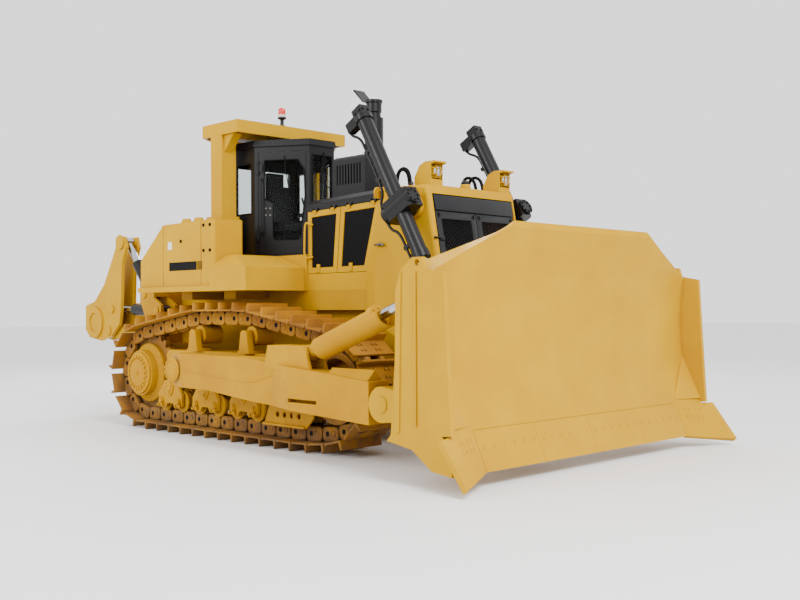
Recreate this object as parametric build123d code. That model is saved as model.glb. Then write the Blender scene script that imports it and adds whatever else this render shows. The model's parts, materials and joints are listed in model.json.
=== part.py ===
"""Large crawler bulldozer: straight-faced push blade on outboard arms, rear ripper with one shank.

Millimetres. +X is the nose, +Y the machine's left side, +Z up. The origin is on the ground under the middle
of the whole machine. Most pieces are modelled on the left side (+Y) and mirrored to the right.
"""

import math
import os

from build123d import *

os.makedirs("parts", exist_ok=True)

FIT = 0.3  # radial clearance of a pin or shaft in its hole, and the gap at a bolted seat
MOVE_GAP = 12  # side gap between pieces that swing past each other

# ---- Tracks ----------------------------------------------------------------------------------------------
GAUGE = 2500  # between the two tracks' centre planes
TRACK_Y = GAUGE / 2
PITCH = 280  # nominal, between two track pins
SHOE_WIDTH = 610
SHOE_THICKNESS = 20
SHOE_GAP = 8  # half of the gap between two shoes
GROUSER_HEIGHT = 90
GROUSER_TIP = 24
GROUSER_ROOT = 38
SEAT_OUT = 95  # shoe seat, outwards from the pin line
RAIL_IN = 75  # rail's running face, inwards from the pin line
RAIL_Y = 105  # rail's middle, from the track's centre plane
RAIL_WIDTH = 60
PIN_LINE_Z = GROUSER_HEIGHT + SHOE_THICKNESS + SEAT_OUT
SPROCKET_X = -2080
SPROCKET_PITCHES = 12
SPROCKET_PIN_R = PITCH / (2 * math.sin(math.pi / SPROCKET_PITCHES))
SPROCKET_Z = PIN_LINE_Z + SPROCKET_PIN_R
IDLER_X = 1900
IDLER_PIN_R = 500
IDLER_LIFT = 35  # idler stands this much higher than the rollers, so the track rises to it
IDLER_Z = PIN_LINE_Z + IDLER_PIN_R + IDLER_LIFT
IDLER_TREAD_R = math.sqrt(IDLER_PIN_R**2 - (PITCH / 2) ** 2) - RAIL_IN - 1
ROLLER_R = 120
ROLLER_WAIST_R = 55  # between the rails, clear of the sprocket's teeth
ROLLER_Z = PIN_LINE_Z + RAIL_IN + ROLLER_R + FIT
BOGIE_X = (-1350, -537, 277, 1090)  # four bogies a side, two rollers in each
BOGIE_HALF = 205  # roller axle from its bogie's middle
TRACK_RISE_X = BOGIE_X[-1] + BOGIE_HALF + 190  # where the track leaves the ground towards the idler
CARRIER_X = (-750, 350)
CARRIER_R = 118
CARRIER_Z = 1290
CARRIER_PIN_R = CARRIER_R + RAIL_IN + 12
ROLLER_HALF = 160  # half of a roller's length
AXLE_R = 48
FRAME_HALF = 170  # half width of a track frame
YOKE_THICKNESS = 45
FRAME_BOTTOM_Z = 650
FRAME_TOP_Z = 1080
BOGIE_IN = FRAME_HALF + 5  # inner face of a bogie's cheek
BOGIE_SKIN = 40
ROLLER_AXLE = BOGIE_IN + BOGIE_SKIN + 20  # half of a roller axle
SPROCKET_WIDTH = 90
SPROCKET_BORE_R = 330
DRIVE_CASE_R = 400
DRIVE_COVER_R = 280
DRIVE_OUT = 270  # final drive's outer face, from the track's centre plane
PIVOT_SHAFT = (-1150, 850)
PIVOT_R = 85
PIVOT_HALF = 1400
EQUALIZER_X = 980
EQUALIZER_HALF = 80
EQUALIZER_TOP_Z = 840

# ---- Main frame, platform and tanks ----------------------------------------------------------------------
HULL_HALF = 450
HULL_BOTTOM_Z = 640
HULL_REAR_X = -2650
REAR_CASE_Z = 2090
HULL_STEP_X = 1590  # front end of the engine bay's floor
HULL_NOSE_X = 2690
HULL_NOSE_Z = 1600
TOW_EYE = (2810, 1060)
TOW_HOLE_R = 42
TOW_HALF = 40
OUTRIGGER_HALF = 1150
OUTRIGGER_Z = 1745  # underside of the cross boxes, above the track's top run
DECK_Z = 2298
FENDER_BOTTOM_Z = 1844
FENDER_OUT_Y = 1550
FENDER_IN_Y = 640
FENDER_REAR_X = -2019
PLATFORM_REAR_X = -1600
FENDER_FRONT_X = 450
FENDER_FRONT_Z = 2130  # foot of the deck's sloping front
DECK_FRONT_X = -100
TANK_FRONT_X = -300
TANK_OUT_Y = 1500
TANK_IN_Y = 1020
TANK_BOTTOM_Z = 1911
TANK_TOP_Z = 2750
TANK_KNEE_Z = 2275
TANK_SLOPE_X = -1450  # front end of the tank's sloped back

# ---- Engine bay and nose ---------------------------------------------------------------------------------
HOOD_HALF = 620
HOOD_REAR_X = 493
HOOD_FRONT_X = 1842
HOOD_REAR_Z = 2965
HOOD_FRONT_Z = 3018
HOOD_BAND = 135  # height of the black band along the hood's edge
SILL_Z = 2050  # lower edge of the engine doors
DOOR_SKIN = 40
GUARD_HALF = 750
NOSE_TOP = (2690, 2978)  # x, z of the radiator guard's front face at its top
NOSE_LOW = (2990, 1300)  # and at its foot
NOSE_SLOPE = (NOSE_LOW[0] - NOSE_TOP[0]) / (NOSE_TOP[1] - NOSE_LOW[1])

# ---- Cab -------------------------------------------------------------------------------------------------
CAB_FRONT_X = 45
CAB_FRONT_HALF = 215  # half width of the narrow windscreen wall
CAB_CORNER_X = -610  # rear edge of the slanting door wall
CAB_HALF = 620
CAB_REAR_X = -1250
CAB_FLOOR_Z = DECK_Z + FIT
CAB_ROOF_Z = 3773
CAB_WALL = 45
ROOF_HEIGHT = 85
DOOR_GAP = 6
HINGE_OUT = 16  # cab door's hinge axis, outwards from the wall's face
HINGE_R = 13
HINGE_LENGTH = 100
HINGE_Z = (2560, 3440)  # lower ends of the door's two knuckles
POST_X = (-1158, -905)
POST_Y = (710, 940)
CANOPY_X = (-1500, -550)
CANOPY_HALF = 942
CANOPY_Z = (3940, 4105)

# ---- Blade and its arms ----------------------------------------------------------------------------------
ARM_PIVOT = (-500, 873)
BLADE_HINGE = (3293, 692)
ARM_IN_Y = 1700
ARM_OUT_Y = 1960
BLADE_OVERHANG = 282  # blade's end plate, outwards from the arm
FACE_RADIUS = 2617  # the face's hollow
FACE_MID_X = 4064  # the hollow's deepest line
FACE_CENTRE = (FACE_MID_X + FACE_RADIUS, 1410)
FACE_SKIN = 38
LOWER_BOX_DEPTH = 424  # lower box beam's back, behind the hollow's deepest line
FACE_BOTTOM_Z = 503
FACE_TOP_Z = 2388
SPILL_TOP = (4262, 2449)
SPILL_HALF = 1156
CHAMFER_TOP_Y = 1264
CHAMFER_END_Z = 1930
BLADE_HALF = ARM_OUT_Y + BLADE_OVERHANG
END_PLATE = 50
EDGE_FOOT = (4399, 135)
EDGE_HEAD = (4227, 500)
EDGE_HALF = BLADE_HALF - 471
EDGE_SKIN = 45
BIT_FOOT = (4692, 77)
BIT_HEAD = (4390, 480)
BIT_OUT_Y = BLADE_HALF + 127
BIT_SKIN = 60

LIFT_Y = 980  # plane of a lift cylinder
LIFT_TRUNNION = (2506, 2735)
LIFT_EYE = (3460, 1040)
LIFT_BARREL_R = 88
LIFT_ROD_R = 56
LIFT_CAP = 1205  # barrel's end beyond the trunnion
LIFT_GLAND = 660  # barrel's end before the trunnion
LIFT_PIN_R = 60
EYE_R = 100
EYE_HALF = 75

TILT_Y = ARM_OUT_Y - 110
TILT_BASE = (1974, 1141)
TILT_EYE = (3640, 1742)
TILT_BARREL_R = 105
TILT_ROD_R = 50
TILT_GLAND = 1160  # barrel's length from its base pin

# ---- Ripper ----------------------------------------------------------------------------------------------
LINK_PIVOT = (-2950, 1180)  # lower link on the tractor
BEAM_PIVOT = (-3960, 1290)  # ripper beam on the lower link
RIPPER_TOP = (-3587, 2640)  # upper cylinder's pin on the beam
RIPPER_SIDE_PIN = (-3850, 1620)  # lift cylinder's pin on the beam
UPPER_BASE = (-2900, 1834)
LOWER_BASE = (-2560, 1600)
RIPPER_LANE = 790  # plane of the ripper's cylinders
RIPPER_PLATE_Y = (870, 920)
BEAM_CENTRE = (-4368, 1415)
BEAM_R = 215
SHANK_THICKNESS = 90
SHANK_X = (-4520, -4240)


# ---- Helpers ---------------------------------------------------------------------------------------------
def side_plate(points, y_low, y_high, radius=0):
    """A plate whose outline is (x, z) points, standing between two heights of y."""
    corners = [(x, y_low, z) for x, z in points]
    line = FilletPolyline(*corners, radius=radius, close=True) if radius else Polyline(*corners, close=True)
    return extrude(make_face(line), amount=y_high - y_low, dir=(0, 1, 0))


def floor_plate(points, z_low, z_high, radius=0):
    """A plate whose outline is (x, y) points, lying between two heights of z."""
    corners = [(x, y, z_low) for x, y in points]
    line = FilletPolyline(*corners, radius=radius, close=True) if radius else Polyline(*corners, close=True)
    return extrude(make_face(line), amount=z_high - z_low, dir=(0, 0, 1))


def cross_plate(points, x_low, x_high):
    """A plate whose outline is (y, z) points, standing across the machine."""
    line = Polyline(*[(x_low, y, z) for y, z in points], close=True)
    return extrude(make_face(line), amount=x_high - x_low, dir=(1, 0, 0))


def block(x, y, z):
    """A box from three (low, high) pairs."""
    size = [high - low for low, high in (x, y, z)]
    middle = [(high + low) / 2 for low, high in (x, y, z)]
    return Pos(*middle) * Box(*size)


def pin(centre, y_low, y_high, radius):
    """A round bar along y through an (x, z) centre."""
    x, z = centre
    return Plane((x, y_low, z), z_dir=(0, 1, 0)) * Cylinder(
        radius, y_high - y_low, align=(Align.CENTER, Align.CENTER, Align.MIN)
    )


def bar(start, end, y, radius):
    """A round bar in the plane y, between two (x, z) points."""
    direction = Vector(end[0] - start[0], 0, end[1] - start[1])
    return Plane((start[0], y, start[1]), z_dir=direction) * Cylinder(
        radius, direction.length, align=(Align.CENTER, Align.CENTER, Align.MIN)
    )


def turned(profile, centre):
    """A piece turned about the y axis through an (x, z) centre, from (y, radius) points."""
    x, z = centre
    line = Polyline(*[(x + r, y, z) for y, r in profile], close=True)
    return revolve(make_face(line), axis=Axis((x, 0, z), (0, 1, 0)))


def mirrored(shape):
    """The same piece on the machine's right side."""
    return mirror(shape, about=Plane.XZ)


def both(shape):
    return [shape, mirrored(shape)]


def along(start, end, distance):
    """The (x, z) point at a distance from start towards end."""
    length = math.dist(start, end)
    return tuple(a + (b - a) * distance / length for a, b in zip(start, end))


def ear(centre, first_root, last_root, radius, y_low, y_high):
    """A lug: a round end about centre, flanked to two roots in counter-clockwise order, x to the right."""
    x, z = centre
    tangents = []
    for root, side in ((first_root, -1), (last_root, 1)):
        reach = math.dist(centre, root)
        heading = math.atan2(root[1] - z, root[0] - x)
        turn = side * math.acos(radius / reach)
        tangents.append((x + radius * math.cos(heading + turn), z + radius * math.sin(heading + turn)))
    web = side_plate([first_root, tangents[0], (x, z), tangents[1], last_root], y_low, y_high)
    return web + pin(centre, y_low, y_high, radius)


def save(name, *shapes):
    solids = [solid for shape in shapes for solid in shape.solids()]
    export_step(Compound(solids), f"parts/{name}.step")


# ---- Undercarriage ---------------------------------------------------------------------------------------
# The track runs round these wheels, clockwise seen from the right: x, z, radius of the pin line.
WHEELS = [
    (SPROCKET_X, SPROCKET_Z, SPROCKET_PIN_R),
    (CARRIER_X[0], CARRIER_Z, CARRIER_PIN_R),
    (CARRIER_X[1], CARRIER_Z, CARRIER_PIN_R),
    (IDLER_X, IDLER_Z, IDLER_PIN_R),
    (TRACK_RISE_X, PIN_LINE_Z + ROLLER_R, ROLLER_R),
]


def pin_line():
    """The pin line as stretches: ('line', start, end) or ('arc', centre, radius, start angle, turn)."""
    tangents = []
    for (x1, z1, r1), (x2, z2, r2) in zip(WHEELS, WHEELS[1:] + WHEELS[:1]):
        heading = math.atan2(z2 - z1, x2 - x1)
        lean = math.asin((r1 - r2) / math.hypot(x2 - x1, z2 - z1))
        tangents.append(heading + math.pi / 2 - lean)
    stretches = []
    for i, (x, z, r) in enumerate(WHEELS):
        arrive, leave = tangents[i - 1], tangents[i]
        turn = (arrive - leave) % (2 * math.pi)
        stretches.append(("arc", (x, z), r, arrive, turn))
        x2, z2, r2 = WHEELS[(i + 1) % len(WHEELS)]
        start = (x + r * math.cos(leave), z + r * math.sin(leave))
        end = (x2 + r2 * math.cos(leave), z2 + r2 * math.sin(leave))
        stretches.append(("line", start, end))
    return stretches


def pin_places():
    """Equally spaced places of the track pins, one pitch apart along the pin line."""
    stretches = pin_line()
    lengths = [math.dist(s[1], s[2]) if s[0] == "line" else s[2] * s[4] for s in stretches]
    count = round(sum(lengths) / PITCH)
    step = sum(lengths) / count
    places = []
    for i in range(count):
        distance = i * step
        for stretch, length in zip(stretches, lengths):
            if distance <= length:
                break
            distance -= length
        if stretch[0] == "line":
            places.append(along(stretch[1], stretch[2], distance))
        else:
            _, (x, z), r, arrive, _ = stretch
            angle = arrive - distance / r
            places.append((x + r * math.cos(angle), z + r * math.sin(angle)))
    return places


def track():
    """One closed chain: two rails with a step at every link, and the shoes on them."""
    places = pin_places()
    links = list(zip(places, places[1:] + places[:1]))

    def spot(link, distance, out):
        (x1, z1), (x2, z2) = link
        length = math.dist(*link)
        ux, uz = (x2 - x1) / length, (z2 - z1) / length
        return (x1 + ux * distance - uz * out, z1 + uz * distance + ux * out)

    outer, inner = [], []
    for i, link in enumerate(links):
        length = math.dist(*link)
        outer += [spot(link, SHOE_GAP, SEAT_OUT), spot(link, length - SHOE_GAP, SEAT_OUT)]
        before = links[i - 1]
        bend = math.atan2(link[1][1] - link[0][1], link[1][0] - link[0][0])
        bend -= math.atan2(before[1][1] - before[0][1], before[1][0] - before[0][0])
        bend = (bend + math.pi) % (2 * math.pi) - math.pi
        inner.append(spot(link, -RAIL_IN * math.tan(bend / 2), -RAIL_IN))
    rail_low = RAIL_Y - RAIL_WIDTH / 2
    rail = side_plate(outer, rail_low, rail_low + RAIL_WIDTH)
    rail -= side_plate(inner, rail_low - 1, rail_low + RAIL_WIDTH + 1)
    rails = [rail, mirrored(rail)]
    shoes = []
    for link in links:
        end = math.dist(*link) - SHOE_GAP
        top = SEAT_OUT + SHOE_THICKNESS
        tip = top + GROUSER_HEIGHT
        lean = (GROUSER_ROOT - GROUSER_TIP) / 2
        section = [
            (SHOE_GAP, SEAT_OUT), (end, SEAT_OUT), (end, top), (SHOE_GAP + GROUSER_ROOT, top),
            (SHOE_GAP + GROUSER_ROOT - lean, tip), (SHOE_GAP + lean, tip),
        ]
        shoes.append(side_plate([spot(link, *p) for p in section], -SHOE_WIDTH / 2, SHOE_WIDTH / 2))
    return Pos(0, TRACK_Y, 0) * rails[0].fuse(rails[1], *shoes)


def sprocket():
    """Toothed rim between the rails: two teeth to each link."""
    teeth = 2 * SPROCKET_PITCHES
    root, tip = SPROCKET_PIN_R - 40, SPROCKET_PIN_R + 20
    # share of a tooth's step, radius
    tooth = [(-0.34, root), (-0.13, tip), (0.13, tip), (0.34, root)]
    step = 2 * math.pi / teeth
    phase = math.pi / 2 + step / 2
    outline = []
    for i in range(teeth):
        for share, r in tooth:
            angle = phase + step * (i + share)
            outline.append((SPROCKET_X + r * math.cos(angle), SPROCKET_Z + r * math.sin(angle)))
    half = SPROCKET_WIDTH / 2
    rim = side_plate(outline, TRACK_Y - half, TRACK_Y + half)
    return rim - pin((SPROCKET_X, SPROCKET_Z), TRACK_Y - half - 1, TRACK_Y + half + 1, SPROCKET_BORE_R)


def final_drive():
    """Stepped round case through the sprocket: inner housing, hub, flange and bolted cover."""
    half = SPROCKET_WIDTH / 2 + FIT
    inner, outer = TRACK_Y - half, TRACK_Y + half
    cover = TRACK_Y + DRIVE_OUT
    profile = [
        (HULL_HALF + FIT, 0), (HULL_HALF + FIT, 330), (HULL_HALF + 250, DRIVE_CASE_R),
        (inner, DRIVE_CASE_R),
        (inner, SPROCKET_BORE_R - FIT), (outer, SPROCKET_BORE_R - FIT), (outer, DRIVE_CASE_R),
        (outer + 50, DRIVE_CASE_R), (outer + 90, DRIVE_COVER_R + 30), (cover - 40, DRIVE_COVER_R + 30),
        (cover - 40, DRIVE_COVER_R), (cover - 12, DRIVE_COVER_R), (cover, DRIVE_COVER_R - 30), (cover, 0),
    ]
    return turned(profile, (SPROCKET_X, SPROCKET_Z))


def idler():
    """Spoked-looking front wheel: hub, web, rim and the flange that runs between the rails."""
    rim, flange = IDLER_TREAD_R, IDLER_TREAD_R + 45
    half, hub = ROLLER_HALF - 10, 130
    profile = [
        (-half, rim - 75), (-half, rim), (-65, rim), (-50, flange), (50, flange), (65, rim), (half, rim),
        (half, rim - 75), (35, rim - 110), (35, hub + 20), (half + 15, hub), (half + 15, AXLE_R + 12),
        (FRAME_HALF + YOKE_THICKNESS + 40, AXLE_R + 12), (FRAME_HALF + YOKE_THICKNESS + 40, 0),
    ]
    profile += [(-y, r) for y, r in reversed(profile[9:])] + [(-35, rim - 110)]
    return Pos(0, TRACK_Y, 0) * turned(profile, (IDLER_X, IDLER_Z))


def roller(x, z, radius, half_axle):
    """Track roller on its axle: two treads, outer flanges and a waist between the rails."""
    flange = radius + 22
    rail_out = RAIL_Y + RAIL_WIDTH / 2 + 6
    rail_in = RAIL_Y - RAIL_WIDTH / 2 - 4
    profile = [
        (rail_in, ROLLER_WAIST_R), (rail_in, radius), (rail_out, radius), (rail_out, flange),
        (ROLLER_HALF - 4, flange - 6), (ROLLER_HALF, AXLE_R + 30), (ROLLER_HALF, AXLE_R),
        (half_axle, AXLE_R),
        (half_axle, 0),
    ]
    profile += [(-y, r) for y, r in reversed(profile)]
    return Pos(0, TRACK_Y, 0) * turned(profile, (x, z))


def track_rollers():
    places = [x + side * BOGIE_HALF for x in BOGIE_X for side in (-1, 1)]
    return [roller(x, ROLLER_Z, ROLLER_R, ROLLER_AXLE) for x in places]


def bogie(x):
    """Two cheek plates that hold a pair of rollers, hung from a cross block under the track frame."""
    foot, shoulder, head = ROLLER_Z - 75, ROLLER_Z + 90, FRAME_BOTTOM_Z + 25
    half = BOGIE_HALF + 75
    outline = [
        (x - half, foot + 20), (x - half + 40, foot - 10), (x - 110, foot - 10), (x - 70, foot + 50),
        (x + 70, foot + 50), (x + 110, foot - 10), (x + half - 40, foot - 10), (x + half, foot + 20),
        (x + half, shoulder), (x + 130, head), (x - 130, head), (x - half, shoulder),
    ]
    cheek = side_plate(outline, BOGIE_IN, BOGIE_IN + BOGIE_SKIN)
    for side in (-1, 1):
        cheek -= pin(
            (x + side * BOGIE_HALF, ROLLER_Z), BOGIE_IN - 1, BOGIE_IN + BOGIE_SKIN + 1, AXLE_R + FIT,
        )
    cheek += pin((x, FRAME_BOTTOM_Z - 50), BOGIE_IN + BOGIE_SKIN - 1, BOGIE_IN + BOGIE_SKIN + 25, 58)
    bridge = block(
        (x - 90, x + 90), (-BOGIE_IN, BOGIE_IN), (ROLLER_Z + ROLLER_R + 35, FRAME_BOTTOM_Z - FIT),
    )
    return Pos(0, TRACK_Y, 0) * (cheek + mirrored(cheek) + bridge)


def front_guard():
    """Outer guide plate over the front rollers, with a rolled lower lip and a row of holes."""
    x0, x1 = BOGIE_X[-1] - 330, BOGIE_X[-1] + 560
    low, high = ROLLER_Z - 130, ROLLER_Z + 210
    outline = [
        (x0, low), (x1 - 120, low), (x1, low + 120), (x1, high - 60), (x1 - 70, high), (x0 + 150, high),
    ]
    y0 = ROLLER_AXLE + 5
    guard = side_plate(outline, y0, y0 + 25) + block((x0, x1 - 130), (y0, y0 + 55), (low, low + 22))
    for i in range(4):
        guard -= pin((x0 + 250 + i * 130, low + 130), y0 - 1, y0 + 26, 34)
    yoke_face = FRAME_HALF + YOKE_THICKNESS + FIT
    hanger = block((x1 - 210, x1 - 90), (yoke_face, y0 + 1), (high - 60, FRAME_BOTTOM_Z + 140))
    return Pos(0, TRACK_Y, 0) * (guard + hanger)


def carrier_stand(x):
    """Bracket on the track frame with the shaft that carries a top roller."""
    reach = ROLLER_HALF + 15
    foot = block((x - 110, x + 110), (40, reach + 90), (FRAME_TOP_Z, FRAME_TOP_Z + 35))
    post = side_plate(
        [(x - 95, FRAME_TOP_Z + 30), (x + 95, FRAME_TOP_Z + 30), (x + 62, CARRIER_Z + 40),
         (x + 30, CARRIER_Z + 68),
         (x - 30, CARRIER_Z + 68), (x - 62, CARRIER_Z + 40)],
        reach, reach + 85,
    )
    post -= pin((x, CARRIER_Z), reach - 1, reach + 60, AXLE_R + FIT)
    return foot + post


def track_frame():
    """Box beam inside the track, with the idler yoke, the arm's trunnion and the carrier stands."""
    rear = SPROCKET_X + SPROCKET_PIN_R + 45
    front = IDLER_X - IDLER_TREAD_R - 90
    beam = side_plate(
        [(rear, FRAME_BOTTOM_Z + 130), (rear + 130, FRAME_BOTTOM_Z), (front, FRAME_BOTTOM_Z),
         (front, FRAME_TOP_Z - 90),
         (front - 260, FRAME_TOP_Z), (rear + 60, FRAME_TOP_Z), (rear, FRAME_TOP_Z - 60)],
        -FRAME_HALF, FRAME_HALF,
    )
    yoke = side_plate(
        [(front - 160, FRAME_BOTTOM_Z + 90), (IDLER_X + 60, IDLER_Z - 95), (IDLER_X + 120, IDLER_Z - 40),
         (IDLER_X + 120, IDLER_Z + 40), (IDLER_X + 60, IDLER_Z + 95), (front - 300, FRAME_TOP_Z - 120)],
        FRAME_HALF - 1, FRAME_HALF + YOKE_THICKNESS,
    )
    yoke -= pin((IDLER_X, IDLER_Z), FRAME_HALF - 2, FRAME_HALF + YOKE_THICKNESS + 1, AXLE_R + 12 + FIT)
    frame = beam + yoke + mirrored(yoke)
    for x in CARRIER_X:
        frame += carrier_stand(x)
    trunnion = [
        (FRAME_HALF - 2, 190), (FRAME_HALF + 40, 190), (FRAME_HALF + 90, 120),
        (ARM_IN_Y - TRACK_Y - 20, 95),
        (ARM_IN_Y - TRACK_Y + 190, 95), (ARM_IN_Y - TRACK_Y + 190, 0), (FRAME_HALF - 2, 0),
    ]
    frame += turned(trunnion, ARM_PIVOT)
    frame -= pin(PIVOT_SHAFT, -FRAME_HALF - 1, FRAME_HALF + 1, PIVOT_R + FIT)
    return Pos(0, TRACK_Y, 0) * frame


def equalizer_bar():
    """Cross beam that rocks under the main frame, its ends against both track frames' inner faces."""
    reach = TRACK_Y - FRAME_HALF - FIT
    half = [
        (0, 590), (200, 590), (reach - 80, 722), (reach, 722), (reach, EQUALIZER_TOP_Z),
        (0, EQUALIZER_TOP_Z),
    ]
    outline = half + [(-y, z) for y, z in reversed(half[1:-1])]
    return cross_plate(outline, EQUALIZER_X - EQUALIZER_HALF, EQUALIZER_X + EQUALIZER_HALF)


def main_frame():
    """Hull: keel box, rear transmission case and the nose that the radiator guard stands on."""
    deck = FENDER_BOTTOM_Z - FIT
    outline = [
        (HULL_REAR_X, 760), (HULL_REAR_X, REAR_CASE_Z), (-1750, REAR_CASE_Z), (PLATFORM_REAR_X, deck),
        (HULL_STEP_X, deck),
        (HULL_STEP_X, HULL_NOSE_Z), (HULL_NOSE_X - 180, HULL_NOSE_Z), (HULL_NOSE_X, 1250),
        (HULL_NOSE_X, 900),
        (HULL_NOSE_X - 260, HULL_BOTTOM_Z), (-2350, HULL_BOTTOM_Z),
    ]
    hull = side_plate(outline, -HULL_HALF, HULL_HALF)
    slot = EQUALIZER_HALF + MOVE_GAP
    hull -= block(
        (EQUALIZER_X - slot, EQUALIZER_X + slot), (-HULL_HALF - 1, HULL_HALF + 1),
        (HULL_BOTTOM_Z - 1, EQUALIZER_TOP_Z + FIT),
    )
    hull -= pin(PIVOT_SHAFT, -HULL_HALF - 1, HULL_HALF + 1, PIVOT_R + FIT)
    hull += block((PLATFORM_REAR_X, HULL_STEP_X), (-HOOD_HALF, HOOD_HALF), (HULL_NOSE_Z, deck))
    # cross boxes that carry the fenders: x low, x high
    for x_low, x_high in [(-1550, -1300), (-560, -310)]:
        hull += block((x_low, x_high), (-OUTRIGGER_HALF, OUTRIGGER_HALF), (OUTRIGGER_Z, deck))
    tow_x, tow_z = TOW_EYE
    eye = block((HULL_NOSE_X - 1, tow_x), (-TOW_HALF, TOW_HALF), (tow_z - 85, tow_z + 85))
    eye += pin(TOW_EYE, -TOW_HALF, TOW_HALF, 85)
    return hull + (eye - pin(TOW_EYE, -TOW_HALF - 1, TOW_HALF + 1, TOW_HOLE_R))


# ---- Platform, tanks and roll-over frame -----------------------------------------------------------------
def fender():
    """Stepped fender: deck with a sloping front before the tank, and a ledge under the tank."""
    section = [
        (FENDER_IN_Y, FENDER_BOTTOM_Z), (FENDER_OUT_Y, FENDER_BOTTOM_Z), (FENDER_OUT_Y, DECK_Z - 148),
        (FENDER_OUT_Y - 250, DECK_Z), (FENDER_IN_Y, DECK_Z),
    ]
    profile = [
        (TANK_FRONT_X, FENDER_BOTTOM_Z), (FENDER_FRONT_X, FENDER_BOTTOM_Z),
        (FENDER_FRONT_X, FENDER_FRONT_Z),
        (DECK_FRONT_X, DECK_Z), (TANK_FRONT_X, DECK_Z),
    ]
    deck = cross_plate(section, TANK_FRONT_X, FENDER_FRONT_X) & side_plate(
        profile, FENDER_IN_Y, FENDER_OUT_Y,
    )
    under_tank = (FENDER_BOTTOM_Z, TANK_BOTTOM_Z - FIT)
    return deck + block((FENDER_REAR_X, TANK_FRONT_X + 1), (TANK_IN_Y, FENDER_OUT_Y), under_tank)


def side_tank():
    """Tank on the fender's ledge, with a sloped back and rounded edges."""
    outline = [
        (FENDER_REAR_X, TANK_BOTTOM_Z), (FENDER_REAR_X, TANK_KNEE_Z), (TANK_SLOPE_X, TANK_TOP_Z - 15),
        (TANK_FRONT_X - FIT, TANK_TOP_Z), (TANK_FRONT_X - FIT, TANK_BOTTOM_Z),
    ]
    tank = side_plate(outline, TANK_IN_Y, TANK_OUT_Y)
    upright = [
        e for e in tank.edges()
        if abs(e.center().X - TANK_FRONT_X) < 2
        and abs(abs(e.center().Y) - (TANK_IN_Y + TANK_OUT_Y) / 2) > 200
    ]
    tank = fillet(upright, 55)
    cap = Pos(TANK_SLOPE_X + 240, (TANK_IN_Y + TANK_OUT_Y) / 2, TANK_TOP_Z - 20) * Cylinder(60, 90)
    return tank + cap


def rear_tank():
    """Cross tank behind the cab, standing on the rear case."""
    outline = [
        (FENDER_REAR_X, REAR_CASE_Z + FIT), (FENDER_REAR_X, TANK_KNEE_Z),
        (TANK_SLOPE_X - 180, TANK_TOP_Z - 130),
        (CAB_REAR_X - 60, TANK_TOP_Z - 130), (CAB_REAR_X - 60, DECK_Z + FIT),
        (PLATFORM_REAR_X - FIT, DECK_Z + FIT),
        (PLATFORM_REAR_X - FIT, REAR_CASE_Z + FIT),
    ]
    return side_plate(outline, -TANK_IN_Y + FIT, TANK_IN_Y - FIT)


def platform():
    """Floor box under the cab, wide between the tanks and narrow between the fenders."""
    height = (FENDER_BOTTOM_Z, DECK_Z)
    wide, narrow = TANK_IN_Y - FIT, FENDER_IN_Y - FIT
    floor = block((PLATFORM_REAR_X, TANK_FRONT_X - FIT), (-wide, wide), height)
    return floor + block((TANK_FRONT_X - 1, HOOD_REAR_X - FIT), (-narrow, narrow), height)


def rops_canopy():
    """Two posts on pedestals, a cross beam and the canopy roof with its fascia."""
    (x0, x1), (y0, y1) = POST_X, POST_Y
    (z0, z1), (r0, r1) = CANOPY_Z, CANOPY_X
    skin = 40
    foot = block((x0 - 60, x1 + 60), (y0 - 30, TANK_IN_Y - FIT - 1), (DECK_Z + FIT, TANK_TOP_Z + 70))
    flange = block((x0 - 45, x1 + 45), (y0 - 20, y1 + 45), (TANK_TOP_Z + 70, TANK_TOP_Z + 105))
    post = block((x0, x1), (y0, y1), (TANK_TOP_Z + 100, z1 - skin))
    gusset = side_plate([(x1 - 1, z0), (x1 + 220, z0 + 1), (x1 - 1, z0 - 230)], y0 + 60, y1 - 40)
    frame = foot + flange + post + gusset
    roof = floor_plate(
        [(r0 + 150, -CANOPY_HALF), (r1, -CANOPY_HALF), (r1, CANOPY_HALF), (r0 + 150, CANOPY_HALF),
         (r0, CANOPY_HALF - 190), (r0, -CANOPY_HALF + 190)], z0, z1,
    )
    hollow = floor_plate(
        [(r0 + 170, -CANOPY_HALF + skin), (r1 - skin, -CANOPY_HALF + skin), (r1 - skin, CANOPY_HALF - skin),
         (r0 + 170, CANOPY_HALF - skin), (r0 + skin, CANOPY_HALF - 210), (r0 + skin, -CANOPY_HALF + 210)],
        z0 - 1, z1 - skin,
    )
    beam = block((x0, x1), (-y1, y1), (z0 - 20, z1 - 1))
    return (roof - hollow) + beam + frame + mirrored(frame)


# ---- Cab -------------------------------------------------------------------------------------------------
CAB_PLAN = [
    (CAB_FRONT_X, -CAB_FRONT_HALF), (CAB_FRONT_X, CAB_FRONT_HALF), (CAB_CORNER_X, CAB_HALF),
    (CAB_REAR_X, CAB_HALF),
    (CAB_REAR_X, -CAB_HALF), (CAB_CORNER_X, -CAB_HALF),
]
DOOR_START, DOOR_END = (CAB_CORNER_X, CAB_HALF), (CAB_FRONT_X, CAB_FRONT_HALF)
DOOR_WALL = math.dist(DOOR_START, DOOR_END)
DOOR_S = (50, DOOR_WALL - 45)  # door opening along the slanting wall
DOOR_Z = (CAB_FLOOR_Z + 40, CAB_ROOF_Z - 70)
# window in the door, with its stepped rear corner: distance along the wall, height
DOOR_WINDOW = [
    (140, 3587), (610, 3587), (700, 3450), (708, 3100), (640, 2570), (600, 2535), (290, 2535), (262, 2575),
    (262, 3020), (140, 3080),
]
# flat windows: wall, low and high along it, sill, head
SIDE_WINDOW_X = (CAB_REAR_X + 60, CAB_CORNER_X - 70)
SIDE_WINDOW_Z = (2890, 3560)
REAR_WINDOW_Y = 450
SCREEN_Y = CAB_FRONT_HALF - 50
SCREEN_Z = (2760, 3650)
PANE = 8


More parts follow.
